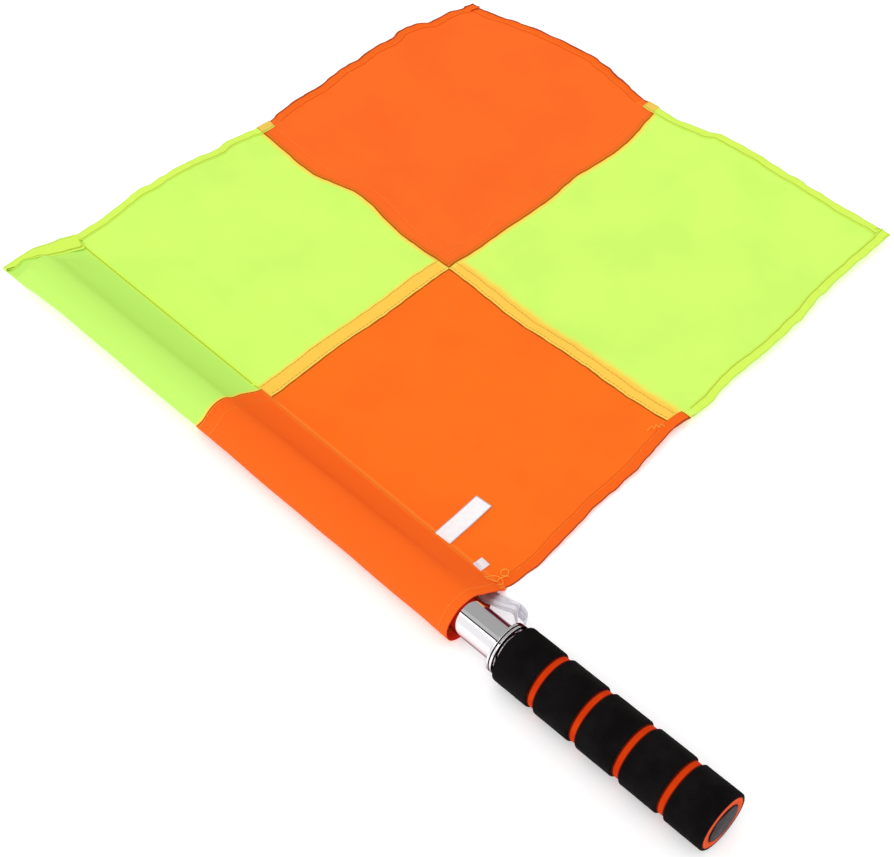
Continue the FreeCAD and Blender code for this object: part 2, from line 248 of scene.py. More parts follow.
# the hoist strip's own width, from the column seam (positive) to the sleeve's lap (negative)
strip = {"flat": 48 * mm, "loop": 46 * mm, "slope": 20 * mm, "round": 3 * mm, "sag": 3.4 * mm, "mouthSag": 1.35,
         "mouthReach": 26 * mm, "skew": 10 * mm}
lapStart = strip["loop"] + strip["slope"]
lapEnd = lapStart + flag["lap"]
# by the strip's width in mm: how much of the skew the sleeve's cloth takes, and how wide its top hem is
skewed = [(-68, 0.3), (-61, 0.25), (-45, 1.07), (-29, 1.07), (-6, 0.0), (14, 0.0)]
sleeveHem = [(-68, 5.0), (-12, 3.5), (0, 5.5), (5, 5.5), (9, 4.0), (16, 7.7), (21, 12.0), (34, 15.0), (36, 15.0),
             (38, 6.5)]
# the lower layer drawn back at the sleeve's mouth, and the green strip's corner under the orange one
mouthPull = {"depth": 4 * mm, "start": 14 * mm, "width": 26 * mm, "reach": 14 * mm}
underLap = {"depth": 0.2 * mm, "start": 40 * mm, "deepen": 10 * mm, "end": 8 * mm, "fade": 4 * mm}
# wrinkles of the sleeve: how they start and end round it, how far they reach, and a tuck below its top
wrinkles = {"start": 12 * mm, "end": 9 * mm, "mouth": 16 * mm, "tip": 30 * mm, "tuck": 1.5 * mm,
            "tuckWidth": 34 * mm, "tuckBelow": 15 * mm, "tuckReach": 3 * mm}


def relief(x, y):
    # folds, and puckers where a stitched edge draws the cloth in, over the lie of the whole flag
    edge, seams = fromSewing(x, y)
    fromSeam = x - seamX(y)
    opening = ease((fromSeam - pucker["hem"]) / pucker["open"])
    drawn = (waved("edges", x, y) * near(edge - pucker["hem"], pucker["seams"])
             + waved("seams", x, y) * near(seams, pucker["seams"]))
    lap = waved("lap", x, y) * near(fromSeam - pucker["lap"], pucker["lapReach"]) * ease(fromSeam / pucker["lap"])
    return opening * (waved("folds", x, y) + drawn) + lap


def turnOf(q, fold, radius):
    # how far inside its edge, and how far over the cloth, a point of an edge's fold is
    first = np.pi * np.clip(q, 0, 1)
    second = np.pi * np.clip(q - 2, 0, 1)
    small = foldOver["radius"]
    inset = (fold["width"] * np.clip(q - 1, 0, 1) - radius * np.sin(first) + small * np.sin(second)
             - fold["turnIn"] * np.clip(q - 3, 0, 1))
    rise = radius * (1 - np.cos(first)) - small * (1 - np.cos(second)) * (fold["turnIn"] > 0)
    return inset, rise * fold["up"]


def cutOf(q, fold):
    # the same point's way over the flat cut, past the edge
    return (math.pi * fold["radius"] * 2 * np.clip(q, 0, 1) + fold["width"] * np.clip(q - 1, 0, 1)
            + fold["radius"] * np.clip(q - 2, 0, 1) + fold["turnIn"] * np.clip(q - 3, 0, 1))


def laps(x, y):
    # height of each panel's middle over the underside, from what it overlaps
    overRow = 1 - ease((y - flagMid - sewing["overlap"] - mm) / sewing["settle"])
    overColumn = 1 - ease((x - hoistX - sewing["overlap"] - mm) / sewing["settle"])
    rise = sewing["lapped"] - sewing["base"]
    both = (overRow * overColumn * ease((y - flagMid) / sewing["blend"] + 1)
            * ease((x - hoistX) / sewing["blend"] + 1))
    return {"lowerHoist": sewing["base"] + 0 * x,
            "upperHoist": sewing["base"] + rise * overRow,
            "lowerFly": sewing["base"] + rise * overColumn + sewing["corner"] * both,
            "upperFly": sewing["base"] + rise * np.maximum(overColumn, overRow) + 2.5 * sewing["corner"] * both}


def stackTop(x, y):
    # height of the uppermost face where layers lie on each other, for the hems to go round
    half = sewing["cloth"] / 2
    rowLap = ease((y - flagMid + mm) / mm) * (1 - ease((y - flagMid - sewing["overlap"]) / mm))
    columnLap = ease((x - hoistX + mm) / mm) * (1 - ease((x - hoistX - sewing["overlap"]) / mm))
    return half + sewing["base"] + (sewing["lapped"] - sewing["base"]) * np.maximum(rowLap, columnLap)


def section(u, y):
    # the hoist strip's outer skin at width u: place in the section, and its outward normal's angle
    shutting = (y - poleLength - flag["pinchStart"]) / (flagHigh - flag["pinchEnd"] - poleLength - flag["pinchStart"])
    shut = 0.5 * ease(shutting) + 0.5 * np.clip(shutting, 0, 1) ** 2
    openRadius = (axisHeight(y) + pole["radius"] + flag["fit"] + flag["space"]) / 2
    loop = openRadius + (flag["shut"] - openRadius) * shut
    centre = (flag["shut"] - flag["tip"]) * shut
    stitch = seamX(y) - sewing["inset"]
    overRow = ease((y - flagMid + ridge["ahead"]) / ridge["rise"])
    overRow = overRow * (1 - ease((y - flagMid - sewing["overlap"] - ridge["past"]) / ridge["fall"]))
    overHem = 1 - ease((y - flagLow - hem["width"] - ridge["past"]) / ridge["fall"])
    land = sewing["land"] + ridge["height"] * np.maximum(overRow, overHem)
    reach = np.hypot(stitch - centre, land - loop)
    normal = np.arctan2(land - loop, stitch - centre) + np.arccos(np.clip(loop / reach, -1, 1))
    flatEnd = stitch + flag["flat"]
    wide = hoistX + sewing["overlap"] - strip["flat"]
    x = np.where(u < strip["flat"], centre + (flatEnd - centre) * u / strip["flat"],
                 flatEnd + (u - strip["flat"]) * (hoistX + sewing["overlap"] - flatEnd) / wide)
    z = lift(x, y) * (u >= 0)
    angle = np.full_like(x, -np.pi / 2)
    onLoop = -u / strip["loop"]
    turning = 3 * np.pi / 2 - (3 * np.pi / 2 - normal) * np.clip(onLoop, 0, 1)
    looped = u < 0
    x = np.where(looped, centre + loop * np.cos(turning), x)
    z = np.where(looped, loop + loop * np.sin(turning), z)
    angle = np.where(looped, turning, angle)
    down = (-u - strip["loop"]) / strip["slope"]
    sloping = down > 0
    share = np.clip(down, 0, 1)
    atMouth = strip["mouthSag"] * near(y - flagLow, strip["mouthReach"])
    sag = strip["sag"] * (1 - atMouth) * np.sin(np.pi * share) * (1 - shut)
    startX, startZ = centre + loop * np.cos(normal), loop + loop * np.sin(normal)
    x = np.where(sloping, startX + (stitch - startX) * share - sag * np.cos(normal), x)
    z = np.where(sloping, startZ + (land - startZ) * share - sag * np.sin(normal), z)
    past = -u - lapStart
    x = x + np.maximum(past, 0)
    bend = ease((past + strip["round"]) / strip["round"])
    angle = np.where(sloping, normal + (np.pi / 2 - normal) * bend, angle)
    return x, z, angle, shut


def sleeveFolds(u, y, shut):
    # soft wrinkles of the sleeve, outward from the pole
    on = ease(-u / wrinkles["start"]) * ease((u + lapStart) / wrinkles["end"])
    mouth = near(y - flagLow, wrinkles["mouth"]) * waved("mouth", u, y)
    tip = ease((y - poleLength) / wrinkles["tip"] + 1) * (1 - shut) * waved("tip", u, y)
    below = y - flagHigh + wrinkles["tuckBelow"]
    tuck = near(below, wrinkles["tuckReach"]) * hump((u + lapStart) / wrinkles["tuckWidth"])
    return on * (waved("sleeve", u, y) + mouth + tip) + tuck * wrinkles["tuck"]


hoistWidth = (-lapEnd, hoistX + sewing["overlap"])
panels = {
    "lowerHoist": {"node": "hoist_panel_lower", "slot": "orange_cloth", "u": hoistWidth,
                   "v": (flagLow, flagMid + sewing["overlap"]), "folds": (foldOver, foldOver, hem, foldOver)},
    "upperHoist": {"node": "hoist_panel_upper", "slot": "green_cloth", "u": hoistWidth,
                   "v": (flagMid, flagHigh), "folds": (foldOver, foldOver, foldUnder, hem)},
    "lowerFly": {"node": "fly_panel_lower", "slot": "green_cloth", "u": (hoistX, flyX),
                 "v": (flagLow, flagMid + sewing["overlap"]), "folds": (foldUnder, hem, hem, foldOver)},
    "upperFly": {"node": "fly_panel_upper", "slot": "orange_cloth", "u": (hoistX, flyX),
                 "v": (flagMid, flagHigh), "folds": (foldUnder, hem, foldUnder, hem)},
}


def turnedBy(q, n):
    # the layer's own side after a fold: its sign changes over the turn
    return n * np.where(q >= 1, -1, np.cos(np.pi * np.clip(q, 0, 1)))


def place(name, u, uq, v, vq, extra=0.0):
    # points of a panel: u and v over its cut, uq and vq (signed) along its edges' folds, extra over its middle
    panel = panels[name]
    folds = panel["folds"]
    hoist = name.endswith("Hoist")
    n = extra + 0 * u
    along = v + 0 * u
    across = u + 0 * v
    if hoist:
        turned = through([(width * mm, share) for width, share in skewed], across)
        along = along - strip["skew"] * turned * np.sin(np.pi * (along - flagLow) / (flagHigh - flagLow))
        pulled = hump((across - mouthPull["start"]) / mouthPull["width"]) * near(along - flagLow, mouthPull["reach"])
        along = along + mouthPull["depth"] * pulled
    flat = laps(across, along)[name]
    for q, fold, sign in ((np.maximum(-uq, 0), folds[0], 1), (np.maximum(uq, 0), folds[1], -1)):
        top = stackTop(across, along) if fold is hem else 0
        radius = top + fold["radius"] - flat if fold is hem else fold["radius"]
        inset, rise = turnOf(q, fold, radius)
        across = across + sign * inset * (q > 0)
        n = turnedBy(q, n) + rise
    flat = laps(across, along)[name]
    atCorner = ease((across - flyX + hem["width"] + mm) / mm) * (not hoist)
    cornered = stackTop(across, along) + sewing["cornerStack"] * atCorner
    for q, fold, sign in ((np.maximum(-vq, 0), folds[2], 1), (np.maximum(vq, 0), folds[3], -1)):
        if fold is hem and hoist and sign < 0:
            continue
        radius = cornered + fold["radius"] - flat - np.maximum(n, -mm) if fold is hem else fold["radius"] + 0 * n
        inset, rise = turnOf(q, fold, radius)
        along = along + sign * inset * (q > 0)
        n = (n if fold is hem else turnedBy(q, n)) + rise
    if hoist:
        q = np.maximum(vq, 0) * (name == "upperHoist")
        wide = through([(width * mm, reach * mm) for width, reach in sleeveHem], across)
        inside = along - wide * np.clip(q - 1, 0, 1) + hem["turnIn"] * np.clip(q - 3, 0, 1)
        x, z, angle, shut = section(across, inside)
        green = name == "upperHoist"
        deeper = (underLap["depth"] * green * ease((-across - underLap["start"]) / underLap["deepen"])
                  * (1 - ease((v - flagMid - underLap["end"]) / underLap["fade"])))
        n = n + flat + deeper - sleeveFolds(across, inside, shut * green)
        x = x - n * np.cos(angle)
        z = z - n * np.sin(angle)
        ground = lift(np.maximum(x, 0), inside)
        sleeved = 1 - ease((x - seamX(inside) - flag["lap"]) / (2 * mm))
        over = 2 * flag["shut"] + 0.1 * mm
        radius = stackTop(x, inside) * (1 - sleeved) + over * sleeved + hem["radius"] - (z - ground)
        inset, rise = turnOf(q, dict(hem, width=wide), radius)
        along = inside * (q >= 1) + (along - inset * (q > 0)) * (q < 1)
        along = along - foldOver["radius"] * np.sin(np.pi * np.clip(q - 2, 0, 1)) * (q > 2)
        z = z + rise + relief(x, along) * ease(across / (2 * mm))
    else:
        x = across
        z = n + flat + lift(across, along) + relief(x, along)
    x, y = bowed(x, along)
    return np.stack([x, y, z + tableZ], axis=-1)


def linesOf(low, high, folds, step):
    # positions over the cut, and stations of the folds at both ends
    count = int(round((high - low) / step))
    inner = [(low + (high - low) * i / count, 0.0) for i in range(count + 1)]
    ends = []
    for fold in folds:
        stations = []
        for leg, number in enumerate(fold["stations"]):
            stations += [leg + (i + 1) / number for i in range(number)]
        ends.append(stations)
    before = [(low, -q) for q in reversed(ends[0])]
    after = [(high, q) for q in ends[1]]
    rows = np.array(before + inner + after)
    at, q = rows[:, 0], rows[:, 1]
    return at, q, at + np.where(q < 0, -cutOf(-q, folds[0]), cutOf(np.maximum(q, 0), folds[1]))


def meshObject(name, points, faces, uv=None):
    mesh = bpy.data.meshes.new(name)
    mesh.from_pydata([tuple(p) for p in points], [], faces)
    if uv is not None:
        layer = mesh.uv_layers.new(name="cut")
        index = np.empty(len(mesh.loops), np.int32)
        mesh.loops.foreach_get("vertex_index", index)
        layer.data.foreach_set("uv", np.asarray(uv, np.float32)[index].ravel())
    mesh.polygons.foreach_set("use_smooth", [True] * len(mesh.polygons))
    made = bpy.data.objects.new(name, mesh)
    bpy.context.scene.collection.objects.link(made)
    return made


def gridFaces(rows, columns):
    return [(i * columns + j, (i + 1) * columns + j, (i + 1) * columns + j + 1, i * columns + j + 1)
            for i in range(rows - 1) for j in range(columns - 1)]


def onlyActive(piece):
    if bpy.context.object and bpy.context.object.mode != "OBJECT":
        bpy.ops.object.mode_set(mode="OBJECT")
    bpy.ops.object.select_all(action="DESELECT")
    piece.select_set(True)
    bpy.context.view_layer.objects.active = piece


def finishWith(piece, kind, **settings):
    onlyActive(piece)
    modifier = piece.modifiers.new(kind.lower(), kind)
    for key, value in settings.items():
        setattr(modifier, key, value)
    bpy.ops.object.modifier_apply(modifier=modifier.name)


label = {"length": 33 * mm, "width": 11.2 * mm, "thickness": 0.16 * mm, "spot": (33.0 * mm, 211.2 * mm),
         "way": 2.4, "curl": 0.5 * mm, "cut": (11 * mm, 35 * mm)}


# Materials

def tint(red, green, blue):
    # a colour as it shows on a screen, 0 to 255, as the shader's own
    shown = [c / 255 for c in (red, green, blue)]
    return tuple(c / 12.92 if c <= 0.04045 else ((c + 0.055) / 1.055) ** 2.4 for c in shown) + (1.0,)


class Wire:
    def __init__(self, tree, socket=None):
        self.tree = tree
        self.socket = socket

    def node(self, kind, settings=None, sockets=None, output=0):
        made = self.tree.nodes.new("ShaderNode" + kind)
        for key, value in (settings or {}).items():
            if key == "stops":
                ramp = made.color_ramp.elements
                while len(ramp) < len(value):
                    ramp.new(0.5)
                for stop, (position, colour) in zip(ramp, value):
                    stop.position = position
                    stop.color = colour
            else:
                setattr(made, key, value)
        for key, value in (sockets or {}).items():
            if isinstance(value, Wire):
                self.tree.links.new(value.socket, made.inputs[key])
            else:
                made.inputs[key].default_value = value
        return Wire(self.tree, made.outputs[output]) if len(made.outputs) else None

    def at(self, output):
        return Wire(self.tree, self.socket.node.outputs[output])

    def math(self, operation, other=0.0, third=0.0):
        return self.node("Math", {"operation": operation}, {0: self, 1: other, 2: third})

    def __add__(self, other):
        return self.math("ADD", other)

    def __sub__(self, other):
        return self.math("SUBTRACT", other)

    def __rsub__(self, other):
        return self.math("MULTIPLY_ADD", -1.0, other)

    def __mul__(self, other):
        return self.math("MULTIPLY", other)

    def __or__(self, other):
        return self.math("MAXIMUM", other)

    __radd__ = __add__
    __rmul__ = __mul__

    def stepped(self, start, end):
        # 0 below start to 1 above end, smoothly; start may be the larger
        turned = start > end
        low, high = min(start, end), max(start, end)
        return self.node("MapRange", {"interpolation_type": "SMOOTHSTEP"},
                         {0: self, 1: low, 2: high, 3: 1.0 if turned else 0.0, 4: 0.0 if turned else 1.0})

    def between(self, low, high, soft=0.3 * mm):
        return self.stepped(low - soft, low + soft) * self.stepped(high + soft, high - soft)

    def mixed(self, first, second):
        # the colour first where this is 0, and second where it is 1
        return self.node("Mix", {"data_type": "RGBA"}, {0: self, 6: first, 7: second}, 2)


def newMaterial(name):
    material = bpy.data.materials.new(name)
    material.use_nodes = True
    material.node_tree.nodes.clear()
    return material, Wire(material.node_tree)


def speckle(start, place, scale, detail, flat=False):
    # soft noise over a place in space, or over a flat cut
    settings = {"noise_dimensions": "2D"} if flat else {}
    return start.node("TexNoise", settings, {"Vector": place, "Scale": scale, "Detail": detail})


def onCut(start):
    # the place on the flat cut, and its way across and along
    uv = start.node("UVMap", {"uv_map": "cut"})
    u = start.node("SeparateXYZ", {}, {0: uv})
    return uv, u, u.at(1)


def inSpace(start):
    return start.node("TexCoord").at("Object")


def stretched(start, place, share):
    return start.node("Mapping", {}, {"Vector": place, "Scale": (1.0, share, 1.0)})


def surfaceOf(start, **sockets):
    shader = start.node("BsdfPrincipled", {}, {key.replace("_", " "): value for key, value in sockets.items()})
    start.node("OutputMaterial", {}, {0: shader})


def bumpOf(start, height, distance, strength=1.0):
    return start.node("Bump", {}, {"Height": height, "Distance": distance, "Strength": strength})


# tones of each cloth; among them line is painted shade of the stitch holes, edge painted shade along the hemmed
# edges, and fold painted shade at the hems' inner edges
cloths = {
    "green": {"base": tint(214, 255, 110), "cloud": tint(208, 252, 108), "hem": tint(216, 249, 95),
              "sleeve": tint(196, 245, 109), "line": tint(170, 198, 58), "beside": tint(220, 252, 78),
              "edge": tint(178, 205, 90), "fold": tint(196, 232, 84), "outlined": 0.45},
    "orange": {"base": tint(255, 116, 30), "cloud": tint(255, 112, 31), "hem": tint(252, 104, 28),
               "sleeve": tint(255, 106, 30), "line": tint(242, 112, 26), "beside": tint(255, 140, 50),
               "edge": tint(140, 58, 34), "fold": tint(226, 86, 22), "outlined": 0.8},
}
cloths["redder"] = dict(cloths["orange"], base=tint(255, 111, 38), cloud=tint(255, 107, 38))
# tones of the allowances seen through the cloth, and painted marks: dark is painted shade at the folded seam edges,
# inside and mouth painted red shade and bounced light inside the sleeve's mouth, and sewn the stitch lines over the
# allowances, darkened as painted shade of the stitch holes
amber = {"lapped": tint(255, 206, 82), "beside": tint(253, 226, 92), "dark": tint(178, 88, 10),
         "bright": tint(255, 224, 110), "hem": tint(243, 202, 90), "inside": tint(255, 52, 34),
         "mouth": tint(186, 24, 18), "sewn": tint(206, 156, 44), "shaded": tint(206, 112, 24)}

# what shows of the sewing, in mm past its seam or edge: from, to and softness
bands = {
    "hemStitch": (5.6, 6.2, 0.25), "seamSide": (0.2, 1.9, 0.5), "lapSide": (-1, 1.6, 0.5),
    "lapStitch": (0.55, 1.0, 0.2), "row": (-4, 9.6, 0.6), "columnHem": (0.2, 14, 0.3),
    "seamGlow": (-2.2, 1, 0.5), "behindRow": (9, 11.6, 0.4), "pastRow": (9.7, 10.9, 0.4),
    "rowStitch": (9.1, 9.5, 0.2), "rowEdge": (-1, 0.9, 0.3),
    "columnStitch": (6.4, 6.8, 0.25), "flyStitch": (9.1, 9.6, 0.25), "darkEdge": (-1, 2, 0.2),
    "darkEnd": (-0.6, 1, 0.2), "sleeveStitch": (0.3, 0.9, 0.3),
}
# and in mm from nothing to full
fades = {
    "sleeve": (2, -6), "hem": (0, 0.2), "fold": (6.5, 6.9), "columnSoft": (14, 8), "column": (11, 7.5),
    "rowHem": (-0.2, 0.4), "columnEdge": (0.9, 0.6), "flyShade": (4.2, 1.5), "flyEdge": (1.0, 0.4),
    "rim": (-0.95, -0.5), "bore": (0.75, 0.3), "front": (-0.7, -0.5), "butt": (0.6, 0.2), "nextBand": (-1.2, -0.6),
}
weaving = {"pitch": 0.42 * mm, "wander": 130.0, "blotch": 24.0, "crumple": 420.0, "sway": 3.0 * mm,
           "waver": 1.0 * mm, "bump": 0.05 * mm,
           "outline": {"lowerHoist": 0.5 * mm, "upperHoist": 0.5 * mm, "lowerFly": 0.5 * mm, "upperFly": 0.9 * mm}}


def band(way, name):
    start, end, soft = bands[name]
    return way.between(start * mm, end * mm, soft * mm)


def fade(way, name):
    start, end = fades[name]
    return way.stepped(start * mm, end * mm)


def seamLayers(panelName, u, v, fine, sway, hemmed, onSleeve):
    # masks of what shows of the seams round a panel, each with its tone, and of its own stitches; among them painted
    # shade at the folded seam edges and painted red shade inside the sleeve's mouth
    flat, free = 1 - hemmed, 1 - onSleeve
    column, row = u - hoistX, v - flagMid
    fineColumn, fineRow = column + fine, row + fine
    if panelName == "upperHoist":
        return [(band(fineRow, "row") * free, amber["lapped"]),
                (band(column, "columnHem") * hemmed, amber["hem"]),
                (band(column, "seamGlow") * flat, amber["beside"]),
                (band(row, "behindRow") * onSleeve, amber["beside"]),
                (band(fineRow, "pastRow") * free, amber["beside"]),
                (band(fineRow, "rowStitch") * free * 0.9, amber["sewn"]),
                (band(fineRow, "rowEdge") * 0.4, amber["bright"])], None
    if panelName == "lowerFly":
        return [(fade(column + sway, "columnSoft") * flat, amber["beside"]),
                (fade(column + sway, "column") * flat, amber["lapped"]),
                (fade(row, "rowHem") * hemmed, amber["hem"]),
                (band(row, "seamGlow") * flat, amber["beside"]),
                (fade(fineColumn, "columnEdge") * flat * 0.4, amber["bright"]),
                (band(fineColumn, "columnStitch") * flat * 0.5, amber["sewn"])], None
    if panelName == "upperFly":
        inner = column.math("MINIMUM", row)
        # painted shade beside the orange's folded edges: broad and soft, then dark right at the edge
        return [(fade(inner, "flyShade") * 0.55, amber["shaded"]),
                (fade(inner, "flyEdge"), amber["dark"])], band(inner + fine * 0.5, "flyStitch") * flat * 0.55
    # painted shade along the folded seam edges and at the ends of the laps
    dark = (band(fineRow, "darkEdge") * free | band(fineColumn, "darkEdge")) * flat
    dark = dark | band(row - sewing["overlap"], "darkEnd") * onSleeve
    dark = dark | band(column - sewing["overlap"], "darkEnd") * hemmed
    # on the hem inside the sleeve's mouth: painted red shade and light bounced in the cloth, darker in the open part
    # of the mouth
    inMouth = u.between(-3 * mm, flag["seamLow"] - 2 * mm, 2 * mm)
    return [(hemmed * onSleeve, amber["inside"]), (hemmed * inMouth, amber["mouth"]),
            (dark, amber["dark"])], band(row, "sleeveStitch") * onSleeve * 0.7


def clothMaterial(name, colour, panelName):
    # thin dyed polyester: fine weave, with its neighbours' allowances showing through, and painted shade at its
    # hemmed edges, seam edges and stitch holes
    look = cloths[colour]
    material, start = newMaterial(name)
    uv, u, v = onCut(start)
    wander = speckle(start, uv, weaving["wander"], 3.0, True) - 0.5
    blotch = speckle(start, uv, weaving["blotch"], 4.0, True)
    crumple = speckle(start, uv, weaving["crumple"], 2.0, True)
    sway, fine = wander * weaving["sway"], wander * weaving["waver"]
    (low, high), right = panels[panelName]["v"], panels[panelName]["u"][1]
    topHem, sideHem = (panels[panelName]["folds"][side] is hem for side in (3, 1))
    pastEdge = v - high if topHem else low - v

    def overHems(test):
        # a test of the way past the hemmed edge along the panel, and past the one across where there is one
        return test(pastEdge) | test(u - right) if sideHem else test(pastEdge)

    onSleeve = fade(u, "sleeve")
    hemmed = overHems(lambda way: fade(way, "hem"))
    # stitched: where the stitch lines run; the line tone laid on it is painted shade of the stitch holes, and it also
    # sinks the bump
    stitched = overHems(lambda way: band(way, "hemStitch"))
    layers = [(onSleeve, look["sleeve"]), (hemmed, look["hem"])]
    if not sideHem:
        slope = (flag["seamHigh"] - flag["seamLow"]) / (flagHigh - flagLow)
        fromSeam = u + fine * 0.6 - v * slope - (flag["seamLow"] - flagLow * slope)
        layers += [(band(fromSeam, "seamSide") * 0.8, look["beside"]),
                   (band(u + fine + lapEnd, "lapSide") * 0.6, look["beside"])]
        stitched = stitched | band(u + fine * 0.4 + lapEnd, "lapStitch")
    around, ownStitches = seamLayers(panelName, u, v, fine, sway, hemmed, onSleeve)
    if ownStitches:
        stitched = stitched | ownStitches
    # painted shade along the hemmed edges, where the fold turns down; outlined sets how dark it is
    reach = weaving["outline"][panelName]
    outline = overHems(lambda way: way.between(-reach, reach * 2, 0.2 * mm)) * (1 - onSleeve * 0.8)
    # painted shade at the hem's inner edge, where the flap steps down onto the cloth
    hemEdgeShade = overHems(lambda way: fade(way, "fold"))
    layers += around + [(stitched, look["line"]), (outline * look["outlined"], look["edge"]),
                        (hemEdgeShade * 0.6, look["fold"])]
    shade = blotch.stepped(0.42, 0.7).mixed(look["base"], look["cloud"])
    for mask, tone in layers:
        shade = mask.mixed(shade, tone)
    rate = 2 * math.pi / weaving["pitch"]
    weave = (u * rate).math("SINE") * (v * rate).math("SINE")
    height = weave * 0.35 + crumple * 0.8 + blotch * 3.0 - stitched * 2.5
    surfaceOf(start, Base_Color=shade, Roughness=0.82, Specular_IOR_Level=0.05,
              Normal=bumpOf(start, height, weaving["bump"], 0.7))
    return material


coreRadius = grip["radius"] - grip["bandThickness"]
buttFoam = tint(246, 130, 84)


def foamMaterial(name, dark, light, creviceShade=None):
    # closed-cell foam: fine pores and a dusty bloom, and painted shade in the grooves beside the bands, round the rim
    # and bore at the ends, and over the front end
    material, start = newMaterial(name)
    spot = inSpace(start)
    pores = start.node("TexVoronoi", {"feature": "F1"}, {"Vector": spot, "Scale": 1500.0})
    bloom = speckle(start, spot, 90.0, 5.0)
    fine = speckle(start, spot, 2600.0, 2.0)
    shade = (bloom * 0.7 + fine * 0.3).stepped(0.35, 0.75).mixed(dark, light)
    if creviceShade:
        x = start.node("SeparateXYZ", {}, {0: spot})
        along = x.at(1) * math.cos(lean) - x.at(2) * math.sin(lean)
        high = x.at(1) * math.sin(lean) + x.at(2) * math.cos(lean)
        radius = (x * x + high * high).math("SQRT")
        pitch = grip["bandLength"] + grip["groove"]
        place = along.math("FLOORED_MODULO", pitch)
        inside = along.between(grip["bandLength"] / 2, gripLength - grip["bandLength"] / 2, 0.1 * mm)
        beside = place.between(grip["bandLength"] - mm, grip["bandLength"] + 0.75 * mm)
        edges = beside | fade(place - pitch, "nextBand")
        ends = fade(radius - coreRadius, "rim") | fade(radius - pole["radius"], "bore")
        # dim: where the painted shade lies, in the grooves' corners and at the ends' edges
        dim = edges * inside | ends * (1 - inside) | fade(along - gripLength, "front")
        shade = (fade(along, "butt") * 0.3).mixed(shade, buttFoam)
        shade = (dim * 0.9).mixed(shade, creviceShade)
    surfaceOf(start, Base_Color=shade, Roughness=0.92, Specular_IOR_Level=0.04,
              Normal=bumpOf(start, pores * 0.8 + fine * 0.5, 0.12 * mm, 0.6))
    return material


def metalMaterial(name, shade, rough, streak):
    # bright plating with faint drawn lines along it and a little haze
    material, start = newMaterial(name)
    spot = inSpace(start)
    lines = speckle(start, stretched(start, spot, 0.03), 1400.0, 2.0)
    haze = speckle(start, spot, 70.0, 4.0)
    surfaceOf(start, Base_Color=shade, Metallic=1.0, Roughness=haze * rough + rough * 0.4,
              Specular_Tint=(0.3, 0.1, 0.13, 1.0), Normal=bumpOf(start, lines, streak, 0.3))
    return material


def plasticMaterial(name, dark, light):
    material, start = newMaterial(name)
    spot = inSpace(start)
    grain = speckle(start, spot, 900.0, 3.0)
    rubbed = speckle(start, spot, 160.0, 5.0)
    shade = rubbed.stepped(0.4, 0.7).mixed(dark, light)
    surfaceOf(start, Base_Color=shade, Roughness=rubbed * 0.3 + 0.3, Specular_IOR_Level=0.04,
              Normal=bumpOf(start, grain, 0.03 * mm, 0.5))
    return material


def satinMaterial(name):
    # white satin: fine lengthwise floats, with painted lilac shade in their hollows
    material, start = newMaterial(name)
    drawn = stretched(start, onCut(start)[0], 0.06)
    floats = speckle(start, drawn, 2200.0, 3.0, True)
    soft = speckle(start, drawn, 420.0, 2.0, True)
    shade = (floats * 0.5 + soft * 0.5).stepped(0.35, 0.62).mixed(tint(214, 211, 222), tint(252, 250, 254))
    surfaceOf(start, Base_Color=shade, Roughness=0.5, Specular_IOR_Level=0.15, Sheen_Weight=0.2,
              Normal=bumpOf(start, floats + soft, 0.08 * mm, 0.6))
    return material


def labelMaterial(name):
    material, start = newMaterial(name)
    uv, u, v = onCut(start)
    rate = 2 * math.pi / (0.34 * mm)
    weave = (u * rate).math("SINE") * 0.5 + (v * (rate * 0.6)).math("SINE") * 0.5
    white = speckle(start, uv, 300.0, 3.0, True).stepped(0.3, 0.7).mixed(tint(249, 248, 252), tint(255, 255, 255))
    # darker border along the sides and far end: painted shade round the label's edges
    inside = v.between(0.6 * mm, label["width"] - 0.6 * mm, 0.2 * mm) * u.stepped(
        label["length"] - 0.4 * mm, label["length"] - 0.9 * mm)
    shade = inside.mixed(tint(214, 200, 198), white)
    surfaceOf(start, Base_Color=shade, Roughness=0.6, Specular_IOR_Level=0.3,
              Normal=bumpOf(start, weave, 0.03 * mm, 0.5))
    return material


def threadMaterial(name, shade, other):
    material, start = newMaterial(name)
    ply = speckle(start, inSpace(start), 2500.0, 2.0)
    surfaceOf(start, Base_Color=ply.stepped(0.35, 0.65).mixed(shade, other), Roughness=0.55,
              Specular_IOR_Level=0.3, Normal=bumpOf(start, ply, 0.05 * mm, 0.6))
    return material


